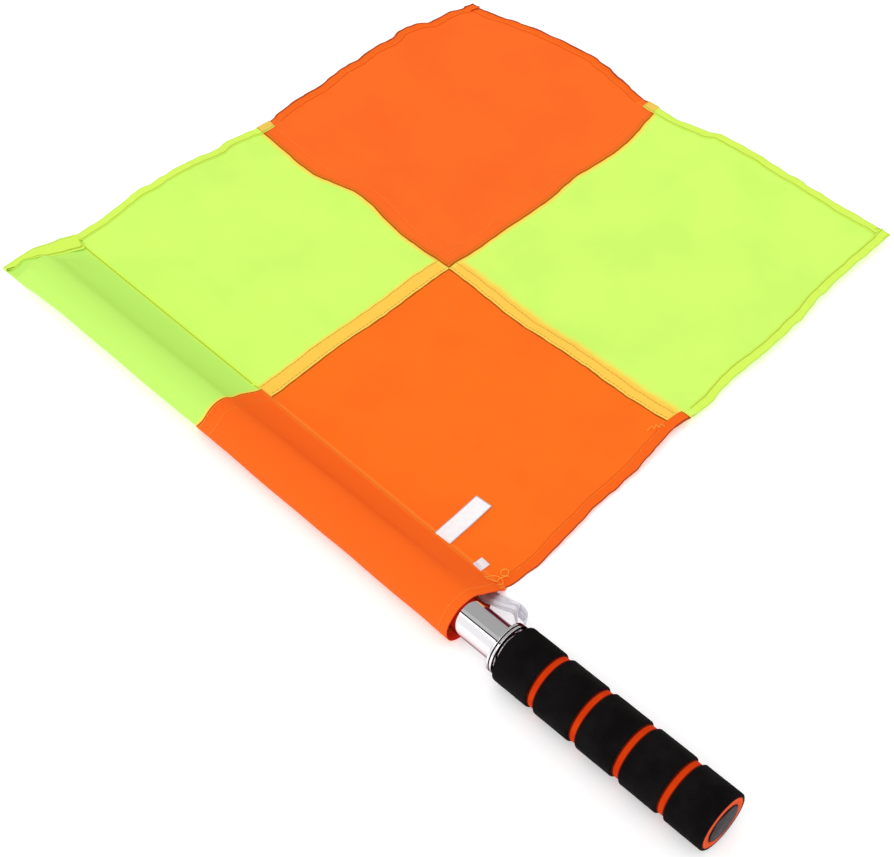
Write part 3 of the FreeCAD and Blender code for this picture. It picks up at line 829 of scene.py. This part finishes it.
materials = {
    "upperHoist": clothMaterial("greenHoistCloth", "green", "upperHoist"),
    "lowerFly": clothMaterial("greenFlyCloth", "green", "lowerFly"),
    "upperFly": clothMaterial("orangeFlyCloth", "redder", "upperFly"),
    "lowerHoist": clothMaterial("orangeHoistCloth", "orange", "lowerHoist"),
    "blackFoam": foamMaterial("blackFoam", tint(13, 11, 11), tint(24, 22, 22)),
    "orangeFoam": foamMaterial("orangeFoam", tint(218, 54, 6), tint(236, 72, 14), tint(58, 12, 10)),
    "chrome": metalMaterial("chromeTube", tint(240, 238, 240), 0.022, 0.004 * mm),
    "steel": metalMaterial("ringSteel", tint(240, 238, 240), 0.05, 0.01 * mm),
    "ringSideDark": metalMaterial("ringSideDarkReflection", tint(58, 50, 54), 0.3, 0.02 * mm),
    "plastic": plasticMaterial("darkPlastic", tint(26, 22, 26), tint(74, 65, 71)),
    "satin": satinMaterial("whiteSatin"),
    "label": labelMaterial("whiteLabel"),
    "thread": threadMaterial("oliveThread", tint(178, 204, 60), tint(206, 228, 84)),
    "amberThread": threadMaterial("amberThread", tint(190, 136, 36), tint(222, 172, 58)),
    "orangeThread": threadMaterial("orangeThread", tint(246, 132, 34), tint(255, 160, 52)),
    "looseThread": threadMaterial("looseThread", tint(255, 160, 44), tint(255, 190, 80)),
    "darkThread": threadMaterial("darkThread", tint(112, 128, 20), tint(150, 166, 32)),
}
print("materials made")


def makePanel(name):
    panel = panels[name]
    u, uq, cutU = linesOf(*panel["u"], panel["folds"][:2], sewing["step"])
    v, vq, cutV = linesOf(*panel["v"], panel["folds"][2:], sewing["step"])
    grid = np.meshgrid(np.arange(len(v)), np.arange(len(u)), indexing="ij")
    rows, columns = grid[0].ravel(), grid[1].ravel()
    points = place(name, u[columns], uq[columns], v[rows], vq[rows])
    cut = np.stack([cutU[columns], cutV[rows]], axis=-1)
    if name.endswith("Hoist"):
        x, _, _, shut = section(u[columns], v[rows])
        closed = (flag["shut"] - flag["tip"]) * shut * np.clip(1 - cut[:, 0] / strip["flat"], 0, 1) ** 3
        cut[:, 0] += np.where(u[columns] > 0, x - closed - u[columns], 0)
    made = meshObject(name + "Panel", points, gridFaces(len(v), len(u)), cut)
    made.data.materials.append(materials[name])
    finishWith(made, "SOLIDIFY", thickness=sewing["cloth"], offset=0.0)
    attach(made, "flag")
    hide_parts(panel["node"])
    return made


cloth = {name: makePanel(name) for name in panels}
print("panels made")


# Stitches: short arched threads, with both ends in the cloth
stitching = {"pitch": 2.9 * mm, "gap": 0.5 * mm, "thread": 0.16 * mm, "proud": 0.1 * mm, "sunk": 0.9, "arch": 0.6,
             "sides": 5, "stations": 5, "samples": 400}
# where the lines run: in a hem's own fold, in from an edge, and past the seams' starts
hemLine = 2 - 1.0 * mm / hem["width"]
lines = {"edge": 5.5 * mm, "first": 1.2 * mm, "second": 9.2 * mm, "middle": 6.6 * mm, "fly": 9.4 * mm,
         "back": 9 * mm, "sleeveFirst": 0.8 * mm, "sleeveSecond": 8.8 * mm}
lapSeam = -(lapStart + 0.9 * mm)


def stitchRow(name, u, uq, v, vq, outward):
    # stitches along a line over a panel, given by its ends; outward is 1 for the side away from the table
    t = np.linspace(0, 1, stitching["samples"])
    line = [a + (b - a) * t for a, b in (u, v)]
    args = (name, line[0], np.full(len(t), uq), line[1], np.full(len(t), vq))
    half = sewing["cloth"] / 2
    spine = place(*args)
    skin = place(*args, extra=half)
    out = (skin - spine) / np.linalg.norm(skin - spine, axis=1)[:, None] * outward
    lengths = np.concatenate([[0], np.cumsum(np.linalg.norm(np.diff(spine, axis=0), axis=1))])
    number = int(lengths[-1] / stitching["pitch"])
    sides, stations, thread = stitching["sides"], stitching["stations"], stitching["thread"]
    reach = stitching["pitch"] - stitching["gap"]
    shares = np.linspace(0, 1, stations)
    sunk = thread * stitching["sunk"]
    height = half - sunk + (sunk + stitching["proud"]) * np.sin(np.pi * shares) ** stitching["arch"]
    points, faces = [], []
    for k in range(number):
        first = len(points)
        where = (k + 0.5) * lengths[-1] / number - reach / 2 + reach * shares
        centre = np.stack([np.interp(where, lengths, spine[:, i]) for i in range(3)], axis=-1)
        normal = np.stack([np.interp(where, lengths, out[:, i]) for i in range(3)], axis=-1)
        centre = centre + normal * height[:, None]
        along = np.gradient(centre, axis=0)
        along /= np.linalg.norm(along, axis=1)[:, None]
        side = np.cross(along, normal)
        side /= np.linalg.norm(side, axis=1)[:, None]
        up = np.cross(side, along)
        for i in range(stations):
            for j in range(sides):
                angle = 2 * math.pi * j / sides
                points.append(centre[i] + thread * (side[i] * math.cos(angle) + up[i] * math.sin(angle)))
        for i in range(stations - 1):
            for j in range(sides):
                a, b = first + i * sides + j, first + i * sides + (j + 1) % sides
                faces.append((a, a + sides, b + sides, b))
        faces.append(tuple(first + j for j in range(sides)))
        faces.append(tuple(first + (stations - 1) * sides + j for j in reversed(range(sides))))
    return points, faces


def crosswise(start, end, along, side=-1, fold=0):
    return (start, end), 0, (along, along), fold, side


def lengthwise(across, start, end, side=-1, fold=0):
    return (across, across), fold, (start, end), 0, side


seamStart = seamX(flagMid) + 3 * mm
# each set of rows: the panel that they are sewn through, their thread, and the rows
stitchRows = {
    "upperHoist": ("upperHoist", "thread", [
        crosswise(strip["flat"], hoistX + 3 * mm, flagHigh, fold=hemLine),
        crosswise(2 * mm, strip["flat"], flagHigh, fold=hemLine),
        lengthwise(lapSeam, flagMid + 11 * mm, flagHigh - 6 * mm),
        crosswise(strip["flat"], hoistX, flagHigh - lines["edge"]),
        lengthwise(hoistX + lines["back"], flagMid, flagHigh)]),
    "lowerFly": ("lowerFly", "thread", [
        crosswise(hoistX + sewing["overlap"], flyX, flagLow, fold=-hemLine),
        lengthwise(flyX, flagLow + 6 * mm, flagMid, fold=hemLine),
        crosswise(hoistX, flyX, flagLow + lines["edge"]),
        lengthwise(flyX - lines["edge"], flagLow, flagMid),
        crosswise(hoistX, flyX, flagMid + lines["back"])]),
    "upperFly": ("upperFly", "orangeThread", [
        lengthwise(hoistX + lines["first"], flagMid, flagHigh - 8 * mm, 1),
        lengthwise(hoistX + lines["fly"], flagMid + 9 * mm, flagHigh - 8 * mm, 1),
        crosswise(hoistX, flyX - 7 * mm, flagMid + lines["first"], 1),
        crosswise(hoistX + 9 * mm, flyX - 7 * mm, flagMid + lines["fly"], 1),
        crosswise(hoistX + sewing["overlap"], flyX, flagHigh, fold=hemLine),
        lengthwise(flyX, flagMid, flagHigh - 6 * mm, fold=hemLine),
        crosswise(hoistX, flyX, flagHigh - lines["edge"]),
        lengthwise(flyX - lines["edge"], flagMid, flagHigh)]),
    "lowerHoist": ("lowerHoist", "orangeThread", [
        crosswise(strip["flat"], hoistX - mm, flagLow, fold=-hemLine),
        lengthwise(lapSeam, flagLow + mm, flagMid + 9 * mm),
        crosswise(-2 * mm, lapSeam + mm, flagLow + lines["edge"]),
        crosswise(-2 * mm, lapSeam + mm, flagMid + lines["sleeveSecond"]),
        crosswise(-2 * mm, lapSeam + mm, flagMid + lines["sleeveFirst"]),
        crosswise(strip["flat"], hoistX, flagLow + lines["edge"]),
        lengthwise(hoistX + lines["back"], flagLow, flagMid),
        crosswise(strip["flat"], hoistX, flagMid + lines["sleeveSecond"])]),
    "rowSeam": ("upperHoist", "amberThread", [
        crosswise(seamStart, hoistX - mm, flagMid + lines["second"], 1),
        crosswise(seamStart, hoistX - mm, flagMid + lines["first"], 1)]),
    "columnSeam": ("lowerFly", "amberThread", [
        lengthwise(hoistX + lines["first"], flagLow + 8 * mm, flagMid, 1),
        lengthwise(hoistX + lines["middle"], flagLow + 8 * mm, flagMid, 1)]),
}


def makeStitches(name):
    panel, thread, rows = stitchRows[name]
    points, faces = [], []
    for row in rows:
        some, more = stitchRow(panel, *row)
        faces += [tuple(i + len(points) for i in face) for face in more]
        points += some
    made = meshObject(name + "Stitches", points, faces)
    made.data.materials.append(materials[thread])
    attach(made, "flag")
    return made


stitches = {name: makeStitches(name) for name in stitchRows}
print("stitches made")


# Grip: a foam core and five foam bands, each turned from a section round the pole's axis
foam = {"turns": 144, "cuts": 30, "lump": 0.09 * mm, "lumpSize": 5 * mm, "coreRound": 0.5 * mm,
        "bandRound": 1.05 * mm}


def selectWhere(piece, kind, test):
    # in edit mode, selects just what passes the test on its place
    bpy.ops.mesh.select_all(action="DESELECT")
    bpy.ops.object.mode_set(mode="OBJECT")
    mesh = piece.data
    if kind == "VERT":
        for vertex in mesh.vertices:
            vertex.select = bool(test(vertex.co))
    elif kind == "EDGE":
        for edge in mesh.edges:
            ends = [mesh.vertices[i].co for i in edge.vertices]
            edge.select = bool(test(*ends))
    else:
        for face in mesh.polygons:
            face.select = bool(test(face.center, face.normal))
    bpy.ops.object.mode_set(mode="EDIT")
    bpy.ops.mesh.select_mode(type=kind)


def leaned(piece):
    # turns a piece built along +Y onto the pole's axis, into its mesh
    onlyActive(piece)
    piece.data.transform(leanTurn)
    piece.data.update()


def sectionPlane(name, body, low, high, start, length):
    # a rectangle beside the pole's axis, between two radii, in edit mode
    onlyActive(frame["bodies"][body])
    bpy.ops.mesh.primitive_plane_add(size=1, location=((low + high) / 2, start + length / 2, 0))
    piece = bpy.context.object
    piece.name = piece.data.name = name
    piece.scale = (high - low, length, 1)
    bpy.ops.object.transform_apply(location=True, rotation=True, scale=True)
    bpy.ops.object.mode_set(mode="EDIT")
    return piece


def onlyOutline():
    bpy.ops.mesh.select_mode(type="FACE")
    bpy.ops.mesh.select_all(action="SELECT")
    bpy.ops.mesh.delete(type="ONLY_FACE")
    bpy.ops.mesh.select_mode(type="VERT")
    bpy.ops.mesh.select_all(action="SELECT")


def foamTube(name, inner, outer, start, length, rounding):
    middle = (inner + outer) / 2
    piece = sectionPlane(name, "handle", inner, outer, start, length)
    selectWhere(piece, "VERT", lambda c: c.x > middle)
    bpy.ops.mesh.bevel(offset=rounding, segments=6, affect="VERTICES")
    selectWhere(piece, "EDGE", lambda a, b: abs(a.y - b.y) > length / 2)
    bpy.ops.mesh.subdivide(number_cuts=foam["cuts"])
    onlyOutline()
    bpy.ops.mesh.spin(steps=foam["turns"], angle=2 * math.pi, center=(0, 0, 0), axis=(0, 1, 0),
                      use_auto_merge=True)
    bpy.ops.mesh.select_all(action="SELECT")
    bpy.ops.mesh.remove_doubles(threshold=0.001 * mm)
    bpy.ops.mesh.normals_make_consistent(inside=False)
    bpy.ops.object.mode_set(mode="OBJECT")
    lumps = bpy.data.textures.new(name + "Lumps", "CLOUDS")
    lumps.noise_scale = foam["lumpSize"]
    outside = piece.vertex_groups.new(name="outside")
    outside.add([v.index for v in piece.data.vertices if math.hypot(v.co.x, v.co.z) > middle], 1.0, "REPLACE")
    finishWith(piece, "DISPLACE", texture=lumps, strength=-foam["lump"] * 2, mid_level=0.0,
               texture_coords="LOCAL", vertex_group="outside")
    piece.data.polygons.foreach_set("use_smooth", [True] * len(piece.data.polygons))
    leaned(piece)
    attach(piece, "handle")
    return piece


def makeGrip():
    core = foamTube("gripCore", pole["radius"] + grip["fit"], coreRadius, 0, gripLength, foam["coreRound"])
    core.data.materials.append(materials["orangeFoam"])
    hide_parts("grip_core")
    for number in range(grip["bands"]):
        start = number * (grip["bandLength"] + grip["groove"])
        band = foamTube("gripBand" + str(number + 1), coreRadius + grip["fit"], grip["radius"], start,
                        grip["bandLength"], foam["bandRound"])
        band.data.materials.append(materials["blackFoam"])
        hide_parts("grip_band_" + str(number + 1))


makeGrip()
print("grip made")

# Butt cap: a moulded disc with a soft rim, a gate mark in its middle and a shank in the tube
cap = {"rim": 0.35 * mm, "mark": 0.6 * mm, "markDepth": 0.25 * mm, "proud": 0.6 * mm}


def makeCap():
    onlyActive(frame["bodies"]["handle"])
    flange, proud = pole["capFlange"], cap["proud"]
    bpy.ops.mesh.primitive_cylinder_add(vertices=128, radius=pole["radius"], depth=flange + proud,
                                        location=(0, (flange - proud) / 2, 0), rotation=(math.pi / 2, 0, 0))
    piece = bpy.context.object
    piece.name = piece.data.name = "buttCap"
    bpy.ops.object.transform_apply(location=True, rotation=True, scale=True)
    bpy.ops.object.mode_set(mode="EDIT")
    selectWhere(piece, "FACE", lambda c, n: n.y > 0.9)
    bpy.ops.mesh.inset(thickness=pole["wall"])
    bpy.ops.mesh.extrude_region_move(TRANSFORM_OT_translate={"value": (0, pole["capShank"], 0)})
    selectWhere(piece, "FACE", lambda c, n: n.y < -0.9)
    bpy.ops.mesh.bevel(offset=cap["rim"], segments=5, affect="EDGES")
    selectWhere(piece, "FACE", lambda c, n: n.y < -0.99 and c.y < 0.1 * mm and math.hypot(c.x, c.z) < mm)
    bpy.ops.mesh.inset(thickness=pole["radius"] - cap["rim"] - cap["mark"])
    bpy.ops.mesh.inset(thickness=cap["markDepth"])
    bpy.ops.mesh.extrude_region_move(TRANSFORM_OT_translate={"value": (0, cap["markDepth"], 0)})
    bpy.ops.object.mode_set(mode="OBJECT")
    bpy.ops.object.shade_smooth_by_angle(angle=math.radians(40))
    leaned(piece)
    piece.data.materials.append(materials["plastic"])
    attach(piece, "handle")
    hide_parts("butt_cap")


makeCap()

# Split ring: two turns of flat wire with rounded edges
ring = {"inner": 12 * mm, "width": 2 * mm, "height": 1.4 * mm, "pitch": 2.0 * mm, "turns": 2, "round": 0.3 * mm,
        "steps": 128}
ribbon = {"width": 6.2 * mm, "thickness": 0.22 * mm, "space": 0.5 * mm, "clear": 0.3 * mm, "sewn": 14 * mm,
          "lift": 5 * mm, "fan": (3.4 * mm, 3.4 * mm, 3.2 * mm, 2.4 * mm, 1.0 * mm, 0.2 * mm)}
ringStart = gripLength + ribbon["space"] + 2 * ribbon["clear"]


def makeRing():
    piece = sectionPlane("splitRing", "ring", ring["inner"], ring["inner"] + ring["width"], ringStart, ring["height"])
    bpy.ops.mesh.select_all(action="SELECT")
    bpy.ops.mesh.bevel(offset=ring["round"], segments=4, affect="VERTICES")
    onlyOutline()
    bpy.ops.object.mode_set(mode="OBJECT")
    steps = ring["steps"] * ring["turns"]
    finishWith(piece, "SCREW", axis="Y", angle=2 * math.pi * ring["turns"],
               screw_offset=ring["pitch"] * ring["turns"], steps=steps, render_steps=steps, use_smooth_shade=True)
    bpy.ops.object.mode_set(mode="EDIT")
    bpy.ops.mesh.select_mode(type="VERT")
    bpy.ops.mesh.select_all(action="SELECT")
    bpy.ops.mesh.fill_holes(sides=0)
    bpy.ops.mesh.select_all(action="SELECT")
    bpy.ops.mesh.normals_make_consistent(inside=False)
    bpy.ops.object.mode_set(mode="OBJECT")
    bpy.ops.object.shade_smooth_by_angle(angle=math.radians(50))
    piece.data.materials.append(materials["steel"])
    piece.data.materials.append(materials["ringSideDark"])
    # the wire's flat sides, facing along the pole, take the dark material: painted dark reflection, and painted shade
    # between the turns
    for face in piece.data.polygons:
        face.material_index = 1 if abs(face.normal.y) > 0.75 else 0
    leaned(piece)
    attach(piece, "ring")
    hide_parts("split_ring")


makeRing()
print("cap and ring made")

# Tether: a satin ribbon from the sleeve, round the ring and back. Places along the bare pole from the grip,
# out in pole radii, up in axis heights, and the ribbon's turn in degrees
outerRun = [(0.963, 2.35, 0.22, 0), (0.8, 2.2, 0.52, 8), (0.63, 2.15, 0.69, 28),
            (0.474, 2.2, 0.79, 40), (0.345, 2.12, 0.86, 55), (0.24, 1.92, 0.94, 74)]
innerRun = [(0.27, 1.4, 1.0, 90), (0.36, 1.7, 0.95, 76)]


def ribbonRoute():
    height = axisHeight(ringStart)
    half = ribbon["space"] / 2
    apart = ribbon["space"] + ribbon["clear"]
    sewnX = flag["seamLow"] - ribbon["width"]
    sewnZ = flag["space"] + ribbon["clear"] + half
    outside = ring["inner"] + ring["width"] + ribbon["clear"] + half
    inside = pole["radius"] + ribbon["space"] + half
    below = gripLength + ribbon["clear"] + half
    ringEnd = ringStart + ring["pitch"] * ring["turns"] + ring["height"]

    def station(share, out, high, degrees):
        turn = math.radians(degrees)
        return (Vector((pole["radius"] * out, gripLength + pole["bare"] * share, height * high)),
                Vector((math.cos(turn), 0, math.sin(turn))))

    level, upright = Vector((1, 0, 0)), Vector((0, 0, 1))
    outer = [(Vector((sewnX, flagLow + ribbon["sewn"], sewnZ)), level),
             (Vector((sewnX, flagLow + ribbon["lift"], sewnZ)), level)]
    outer += [station(*row) for row in outerRun]
    inner = [(spot + Vector((-way.z, 0, way.x)) * apart - level * fan, way)
             for (spot, way), fan in zip(outer[:-2], ribbon["fan"])]
    inner += [station(*row) for row in reversed(innerRun)]
    wrap = [(outside, ringEnd + apart / 2), (outside, below + ribbon["clear"]), (outside - ribbon["clear"], below),
            (inside + ribbon["clear"], below), (inside, below + ribbon["clear"]), (inside, ringEnd + apart / 2)]
    wrap = [(Vector((r, y, height)), upright) for r, y in wrap]
    return outer + wrap + inner[::-1]


def smoothLine(points, steps):
    # a curve through all the points, centripetal so that it doesn't overshoot
    points = [np.array(p) for p in points]
    padded = [2 * points[0] - points[1]] + points + [2 * points[-1] - points[-2]]
    line = []
    for i in range(1, len(padded) - 2):
        p = padded[i - 1:i + 3]
        t = [0.0]
        for a, b in zip(p, p[1:]):
            t.append(t[-1] + max(np.linalg.norm(b[:3] - a[:3]), 1e-6) ** 0.5)
        for s in np.linspace(t[1], t[2], steps, endpoint=False):
            a1 = p[0] + (p[1] - p[0]) * (s - t[0]) / (t[1] - t[0])
            a2 = p[1] + (p[2] - p[1]) * (s - t[1]) / (t[2] - t[1])
            a3 = p[2] + (p[3] - p[2]) * (s - t[2]) / (t[3] - t[2])
            b1 = a1 + (a2 - a1) * (s - t[0]) / (t[2] - t[0])
            b2 = a2 + (a3 - a2) * (s - t[1]) / (t[3] - t[1])
            line.append(b1 + (b2 - b1) * (s - t[1]) / (t[2] - t[1]))
    line.append(padded[-2])
    return np.array(line)


def makeRibbon():
    route = [tuple(spot) + tuple(way) for spot, way in ribbonRoute()]
    line = smoothLine(route, 7)
    spots, ways = line[:, :3], line[:, 3:]
    ways = ways / np.linalg.norm(ways, axis=1)[:, None]
    along = np.gradient(spots, axis=0)
    along /= np.linalg.norm(along, axis=1)[:, None]
    normal = np.cross(along, ways)
    normal /= np.linalg.norm(normal, axis=1)[:, None]
    lengths = np.concatenate([[0], np.cumsum(np.linalg.norm(np.diff(spots, axis=0), axis=1))])
    shares = np.linspace(-0.5, 0.5, 15)
    points, uv = [], []
    for spot, way, out, length in zip(spots, ways, normal, lengths):
        for share in shares:
            crease = 0.05 * mm * math.sin(share * 17 + length / mm * 0.35) - 0.1 * mm * (1 - 4 * share * share)
            points.append(spot + way * ribbon["width"] * share + out * crease + Vector((0, 0, tableZ)))
            uv.append((share * ribbon["width"], length))
    made = meshObject("tetherRibbon", points, gridFaces(len(spots), len(shares)), uv)
    made.data.materials.append(materials["satin"])
    finishWith(made, "SOLIDIFY", thickness=ribbon["thickness"], offset=0.0)
    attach(made, "flag")
    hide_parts("tether_ribbon")
    return made


tether = makeRibbon()

# Label: a bare woven tag on the lower hoist panel, its end in the sleeve's seam. The tether's end comes out
# beside it. Each from the middle of its end in the seam, with the way it points in degrees from +X.
tail = {"length": 6.2 * mm, "width": 6.4 * mm, "thickness": ribbon["thickness"],
        "spot": (32.2 * mm, 185.2 * mm), "way": -5.0, "curl": 0.3 * mm}
# how both lie: on what grid, how far above the cloth, higher at the seam, and arched in the middle
lying = {"step": 0.6 * mm, "above": 0.2 * mm, "rise": 0.15 * mm, "riseLength": 3 * mm, "arch": 0.12 * mm,
         "curled": (0.6, 0.4, 2.6)}


def clothTop(x, y):
    # height of the lower hoist panel's upper face at a bowed place of its flat part
    fx, fy = flatOf(x, y)
    return lift(fx, fy) + relief(fx, fy) + sewing["base"] + sewing["cloth"] / 2 + tableZ


def tagOn(name, sizes, material):
    columns, rows = (int(sizes[size] / lying["step"]) + 1 for size in ("length", "width"))
    u, v = np.meshgrid(np.linspace(0, sizes["length"], columns), np.linspace(0, sizes["width"], rows))
    u, v = u.ravel(), v.ravel()
    turn = math.radians(sizes["way"])
    across = v - sizes["width"] / 2
    x = sizes["spot"][0] + u * math.cos(turn) - across * math.sin(turn)
    y = sizes["spot"][1] + u * math.sin(turn) + across * math.cos(turn)
    far = u / sizes["length"]
    plain, curled, often = lying["curled"]
    z = clothTop(x, y) + sizes["thickness"] / 2 + lying["above"]
    z = z + lying["rise"] * (1 - ease(u / lying["riseLength"])) + lying["arch"] * hump(far * 2)
    z = z + sizes["curl"] * far ** 2 * (plain + curled * np.cos(v / sizes["width"] * often))
    made = meshObject(name, np.stack([x, y, z], axis=-1), gridFaces(rows, columns), np.stack([u, v], axis=-1))
    made.data.materials.append(materials[material])
    finishWith(made, "SOLIDIFY", thickness=sizes["thickness"], offset=0.0)
    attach(made, "flag")
    return made


tag = tagOn("blankLabel", label, "label")
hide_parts("blank_label")
ribbonTail = tagOn("ribbonTail", tail, "satin")

# Loose ends of thread at the sleeve's mouth, at the fly's corners and at the sleeve's tip
looseEnds = {
    "mouthThread": [(29.6, 187, 1.7), (29.1, 183, 2.0), (29.0, 179, 2.2), (30.6, 176.4, 2.3), (33.2, 175.2, 2.3),
                    (35.2, 172.6, 2.3), (35.2, 169.6, 2.3), (33.4, 167.4, 2.4), (31.6, 168.2, 2.5),
                    (30.6, 169.6, 2.4),
                    (30.2, 168.0, 2.2), (31.4, 166.0, 2.2)],
    "mouthLoop": [(28.8, 184, 1.8), (28.6, 180, 2.2), (29.4, 176.6, 2.5), (31.0, 173.6, 2.6), (31.8, 170.4, 2.6),
                  (33.6, 171.2, 2.6), (35.8, 170.4, 2.7), (37.8, 169.6, 2.8), (40.0, 169.8, 2.8), (41.4, 171.4, 2.8),
                  (40.6, 173.4, 2.7), (38.4, 174.0, 2.6), (36.6, 172.6, 2.6), (36.8, 170.2, 2.9), (38.8, 168.4, 2.8)],
    "seamThread": [(161.4, 180.4, 5.2), (166.4, 181.4, 5.6), (164.4, 177.9, 5.6), (168.6, 180.0, 5.7),
                   (167.0, 176.4, 5.7), (171.0, 178.6, 5.6), (170.4, 175.4, 5.3)],
    "cornerThread": [(380, 184, 6.2), (382.6, 181.4, 6.3), (384.6, 182.6, 6.4), (384.4, 185.4, 6.5), (382, 186, 6.5)],
    "tipThread": [(-4.4, 541.4, 1.6), (-7.0, 542.2, 1.9), (-9.9, 543.1, 1.8), (-9.2, 541.4, 1.8), (-7.4, 540.8, 1.6)],
}
looseThreads = {"mouthThread": "looseThread", "mouthLoop": "looseThread", "seamThread": "looseThread",
                "cornerThread": "thread", "tipThread": "darkThread"}
looseRadius = 0.2 * mm


def makeLooseEnd(name):
    curve = bpy.data.curves.new(name, "CURVE")
    curve.dimensions = "3D"
    curve.resolution_u = 6
    curve.bevel_depth = looseRadius
    curve.bevel_resolution = 2
    curve.use_fill_caps = True
    spline = curve.splines.new("NURBS")
    points = looseEnds[name]
    spline.points.add(len(points) - 1)
    for point, (x, y, z) in zip(spline.points, points):
        point.co = (x * mm, y * mm, z * mm + tableZ, 1)
    spline.order_u = 3
    spline.use_endpoint_u = True
    made = bpy.data.objects.new(name, curve)
    bpy.context.scene.collection.objects.link(made)
    onlyActive(made)
    bpy.ops.object.convert(target="MESH")
    made = bpy.context.object
    made.data.materials.clear()
    made.data.materials.append(materials[looseThreads[name]])
    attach(made, "flag")
    return made


ends = {name: makeLooseEnd(name) for name in looseEnds}
print("ribbon, label and loose threads made")

for node in ("pole_tube", "pole_top_plug"):
    made = frame["nodes"][node]
    made.data.materials.clear()
    made.data.materials.append(materials["chrome" if node == "pole_tube" else "plastic"])

# Studio: a white floor and sky, a broad soft light, and cards that only the metal reflects
studio = {"sky": 0.78, "sun": 0.84, "sunSoftness": 70.0, "sunFrom": (-0.55, -0.15, 1.0), "floor": tint(254, 254, 254),
          "floorSize": 12.0, "floorGlow": 0.22, "cardReach": 3.0, "edgeCard": ((30, 118), (35, 167), 26),
          "edgeTone": (0.16, 0.015, 0.03, 1)}
# each card is a piece of a sphere round the pole: degrees from +Y, degrees round from +X, and brightness
cards = {"rightCard": ((50, 76), (-4, 96), 0.42), "paleCard": ((50, 76), (96, 115.5), 0.56),
         "seamCard": ((50, 76), (115.5, 123.5), 0.02),
         "darkBehind": ((32, 46), (0, 180), 0.02),
         "darkAhead": ((84, 100), (0, 180), 0.02)}


def makeFloor():
    onlyActive(frame["bodies"]["handle"])
    bpy.ops.mesh.primitive_plane_add(size=studio["floorSize"], location=(0.15, 0.3, tableZ))
    floor = bpy.context.object
    floor.name = "studioFloor"
    material, start = newMaterial("studioFloor")
    surfaceOf(start, Base_Color=studio["floor"], Roughness=0.9, Specular_IOR_Level=0.0,
              Emission_Color=(1, 1, 1, 1), Emission_Strength=studio["floorGlow"])
    floor.data.materials.append(material)


def makeCard(name, fromPole, around, strength):
    reach = studio["cardReach"]
    columns = 48
    tilt = np.radians(np.linspace(*fromPole, 12))
    turn = np.radians(np.linspace(*around, columns))
    points = [(reach * math.sin(t) * math.cos(r), reach * math.cos(t), reach * math.sin(t) * math.sin(r))
              for t in tilt for r in turn]
    glowing(meshObject(name, points, gridFaces(len(tilt), columns)), (1, 1, 1, 1), strength)


def makeEdgeCard():
    # a low dark card beside the bare pole, which keeps the flag's colour out of the pole's edge; in mm
    (x0, y0), (x1, y1), top = studio["edgeCard"]
    corners = (x0, y0, 0), (x1, y1, 0), (x1, y1, top), (x0, y0, top)
    points = [(x * mm, y * mm, tableZ + z * mm) for x, y, z in corners]
    card = meshObject("edgeCard", points, [(0, 1, 2, 3)])
    glowing(card, studio["edgeTone"], 1.0)


def glowing(card, colour, strength):
    material, start = newMaterial(card.name)
    glow = start.node("Emission", {}, {"Color": colour, "Strength": strength})
    start.node("OutputMaterial", {}, {0: glow})
    card.data.materials.append(material)
    card.visible_camera = card.visible_diffuse = card.visible_shadow = card.visible_transmission = False


def makeSky():
    world = bpy.data.worlds.new("studioSky")
    bpy.context.scene.world = world
    world.use_nodes = True
    world.node_tree.nodes.clear()
    start = Wire(world.node_tree)
    path = start.node("LightPath")
    plain = path.at("Is Camera Ray") | path.at("Is Glossy Ray") | path.at("Is Transmission Ray")
    strength = plain * (1 - studio["sky"]) + studio["sky"]
    sky = start.node("Background", {}, {"Color": (1, 1, 1, 1), "Strength": strength})
    start.node("OutputWorld", {}, {0: sky})


def makeSun():
    light = bpy.data.lights.new("softLight", "SUN")
    light.energy = studio["sun"]
    light.angle = math.radians(studio["sunSoftness"])
    sun = bpy.data.objects.new("softLight", light)
    sun.rotation_euler = Vector(studio["sunFrom"]).to_track_quat("Z", "Y").to_euler()
    bpy.context.scene.collection.objects.link(sun)


def makeCamera():
    # the photograph's viewing angle
    right = Vector((0.70626558, -0.70783425, -0.01050591))
    up = Vector((0.54230448, 0.53145118, 0.65067191))
    forward = Vector((0.45500392, 0.46527051, -0.75920736))
    spot = Vector((-0.3238966, -0.1585434, 0.6708313))
    data = bpy.data.cameras.new("camera")
    data.lens = 65.754
    data.sensor_width = 36.0
    data.clip_start = 0.01
    data.clip_end = 50.0
    camera = bpy.data.objects.new("camera", data)
    camera.matrix_world = Matrix(((right.x, up.x, -forward.x, spot.x), (right.y, up.y, -forward.y, spot.y),
                                  (right.z, up.z, -forward.z, spot.z), (0, 0, 0, 1)))
    bpy.context.scene.collection.objects.link(camera)
    bpy.context.scene.camera = camera


makeFloor()
makeSky()
makeSun()
makeCamera()
for name, (fromPole, around, strength) in cards.items():
    makeCard(name, fromPole, around, strength)
makeEdgeCard()
bpy.context.scene.view_settings.view_transform = "Standard"
print("studio made")
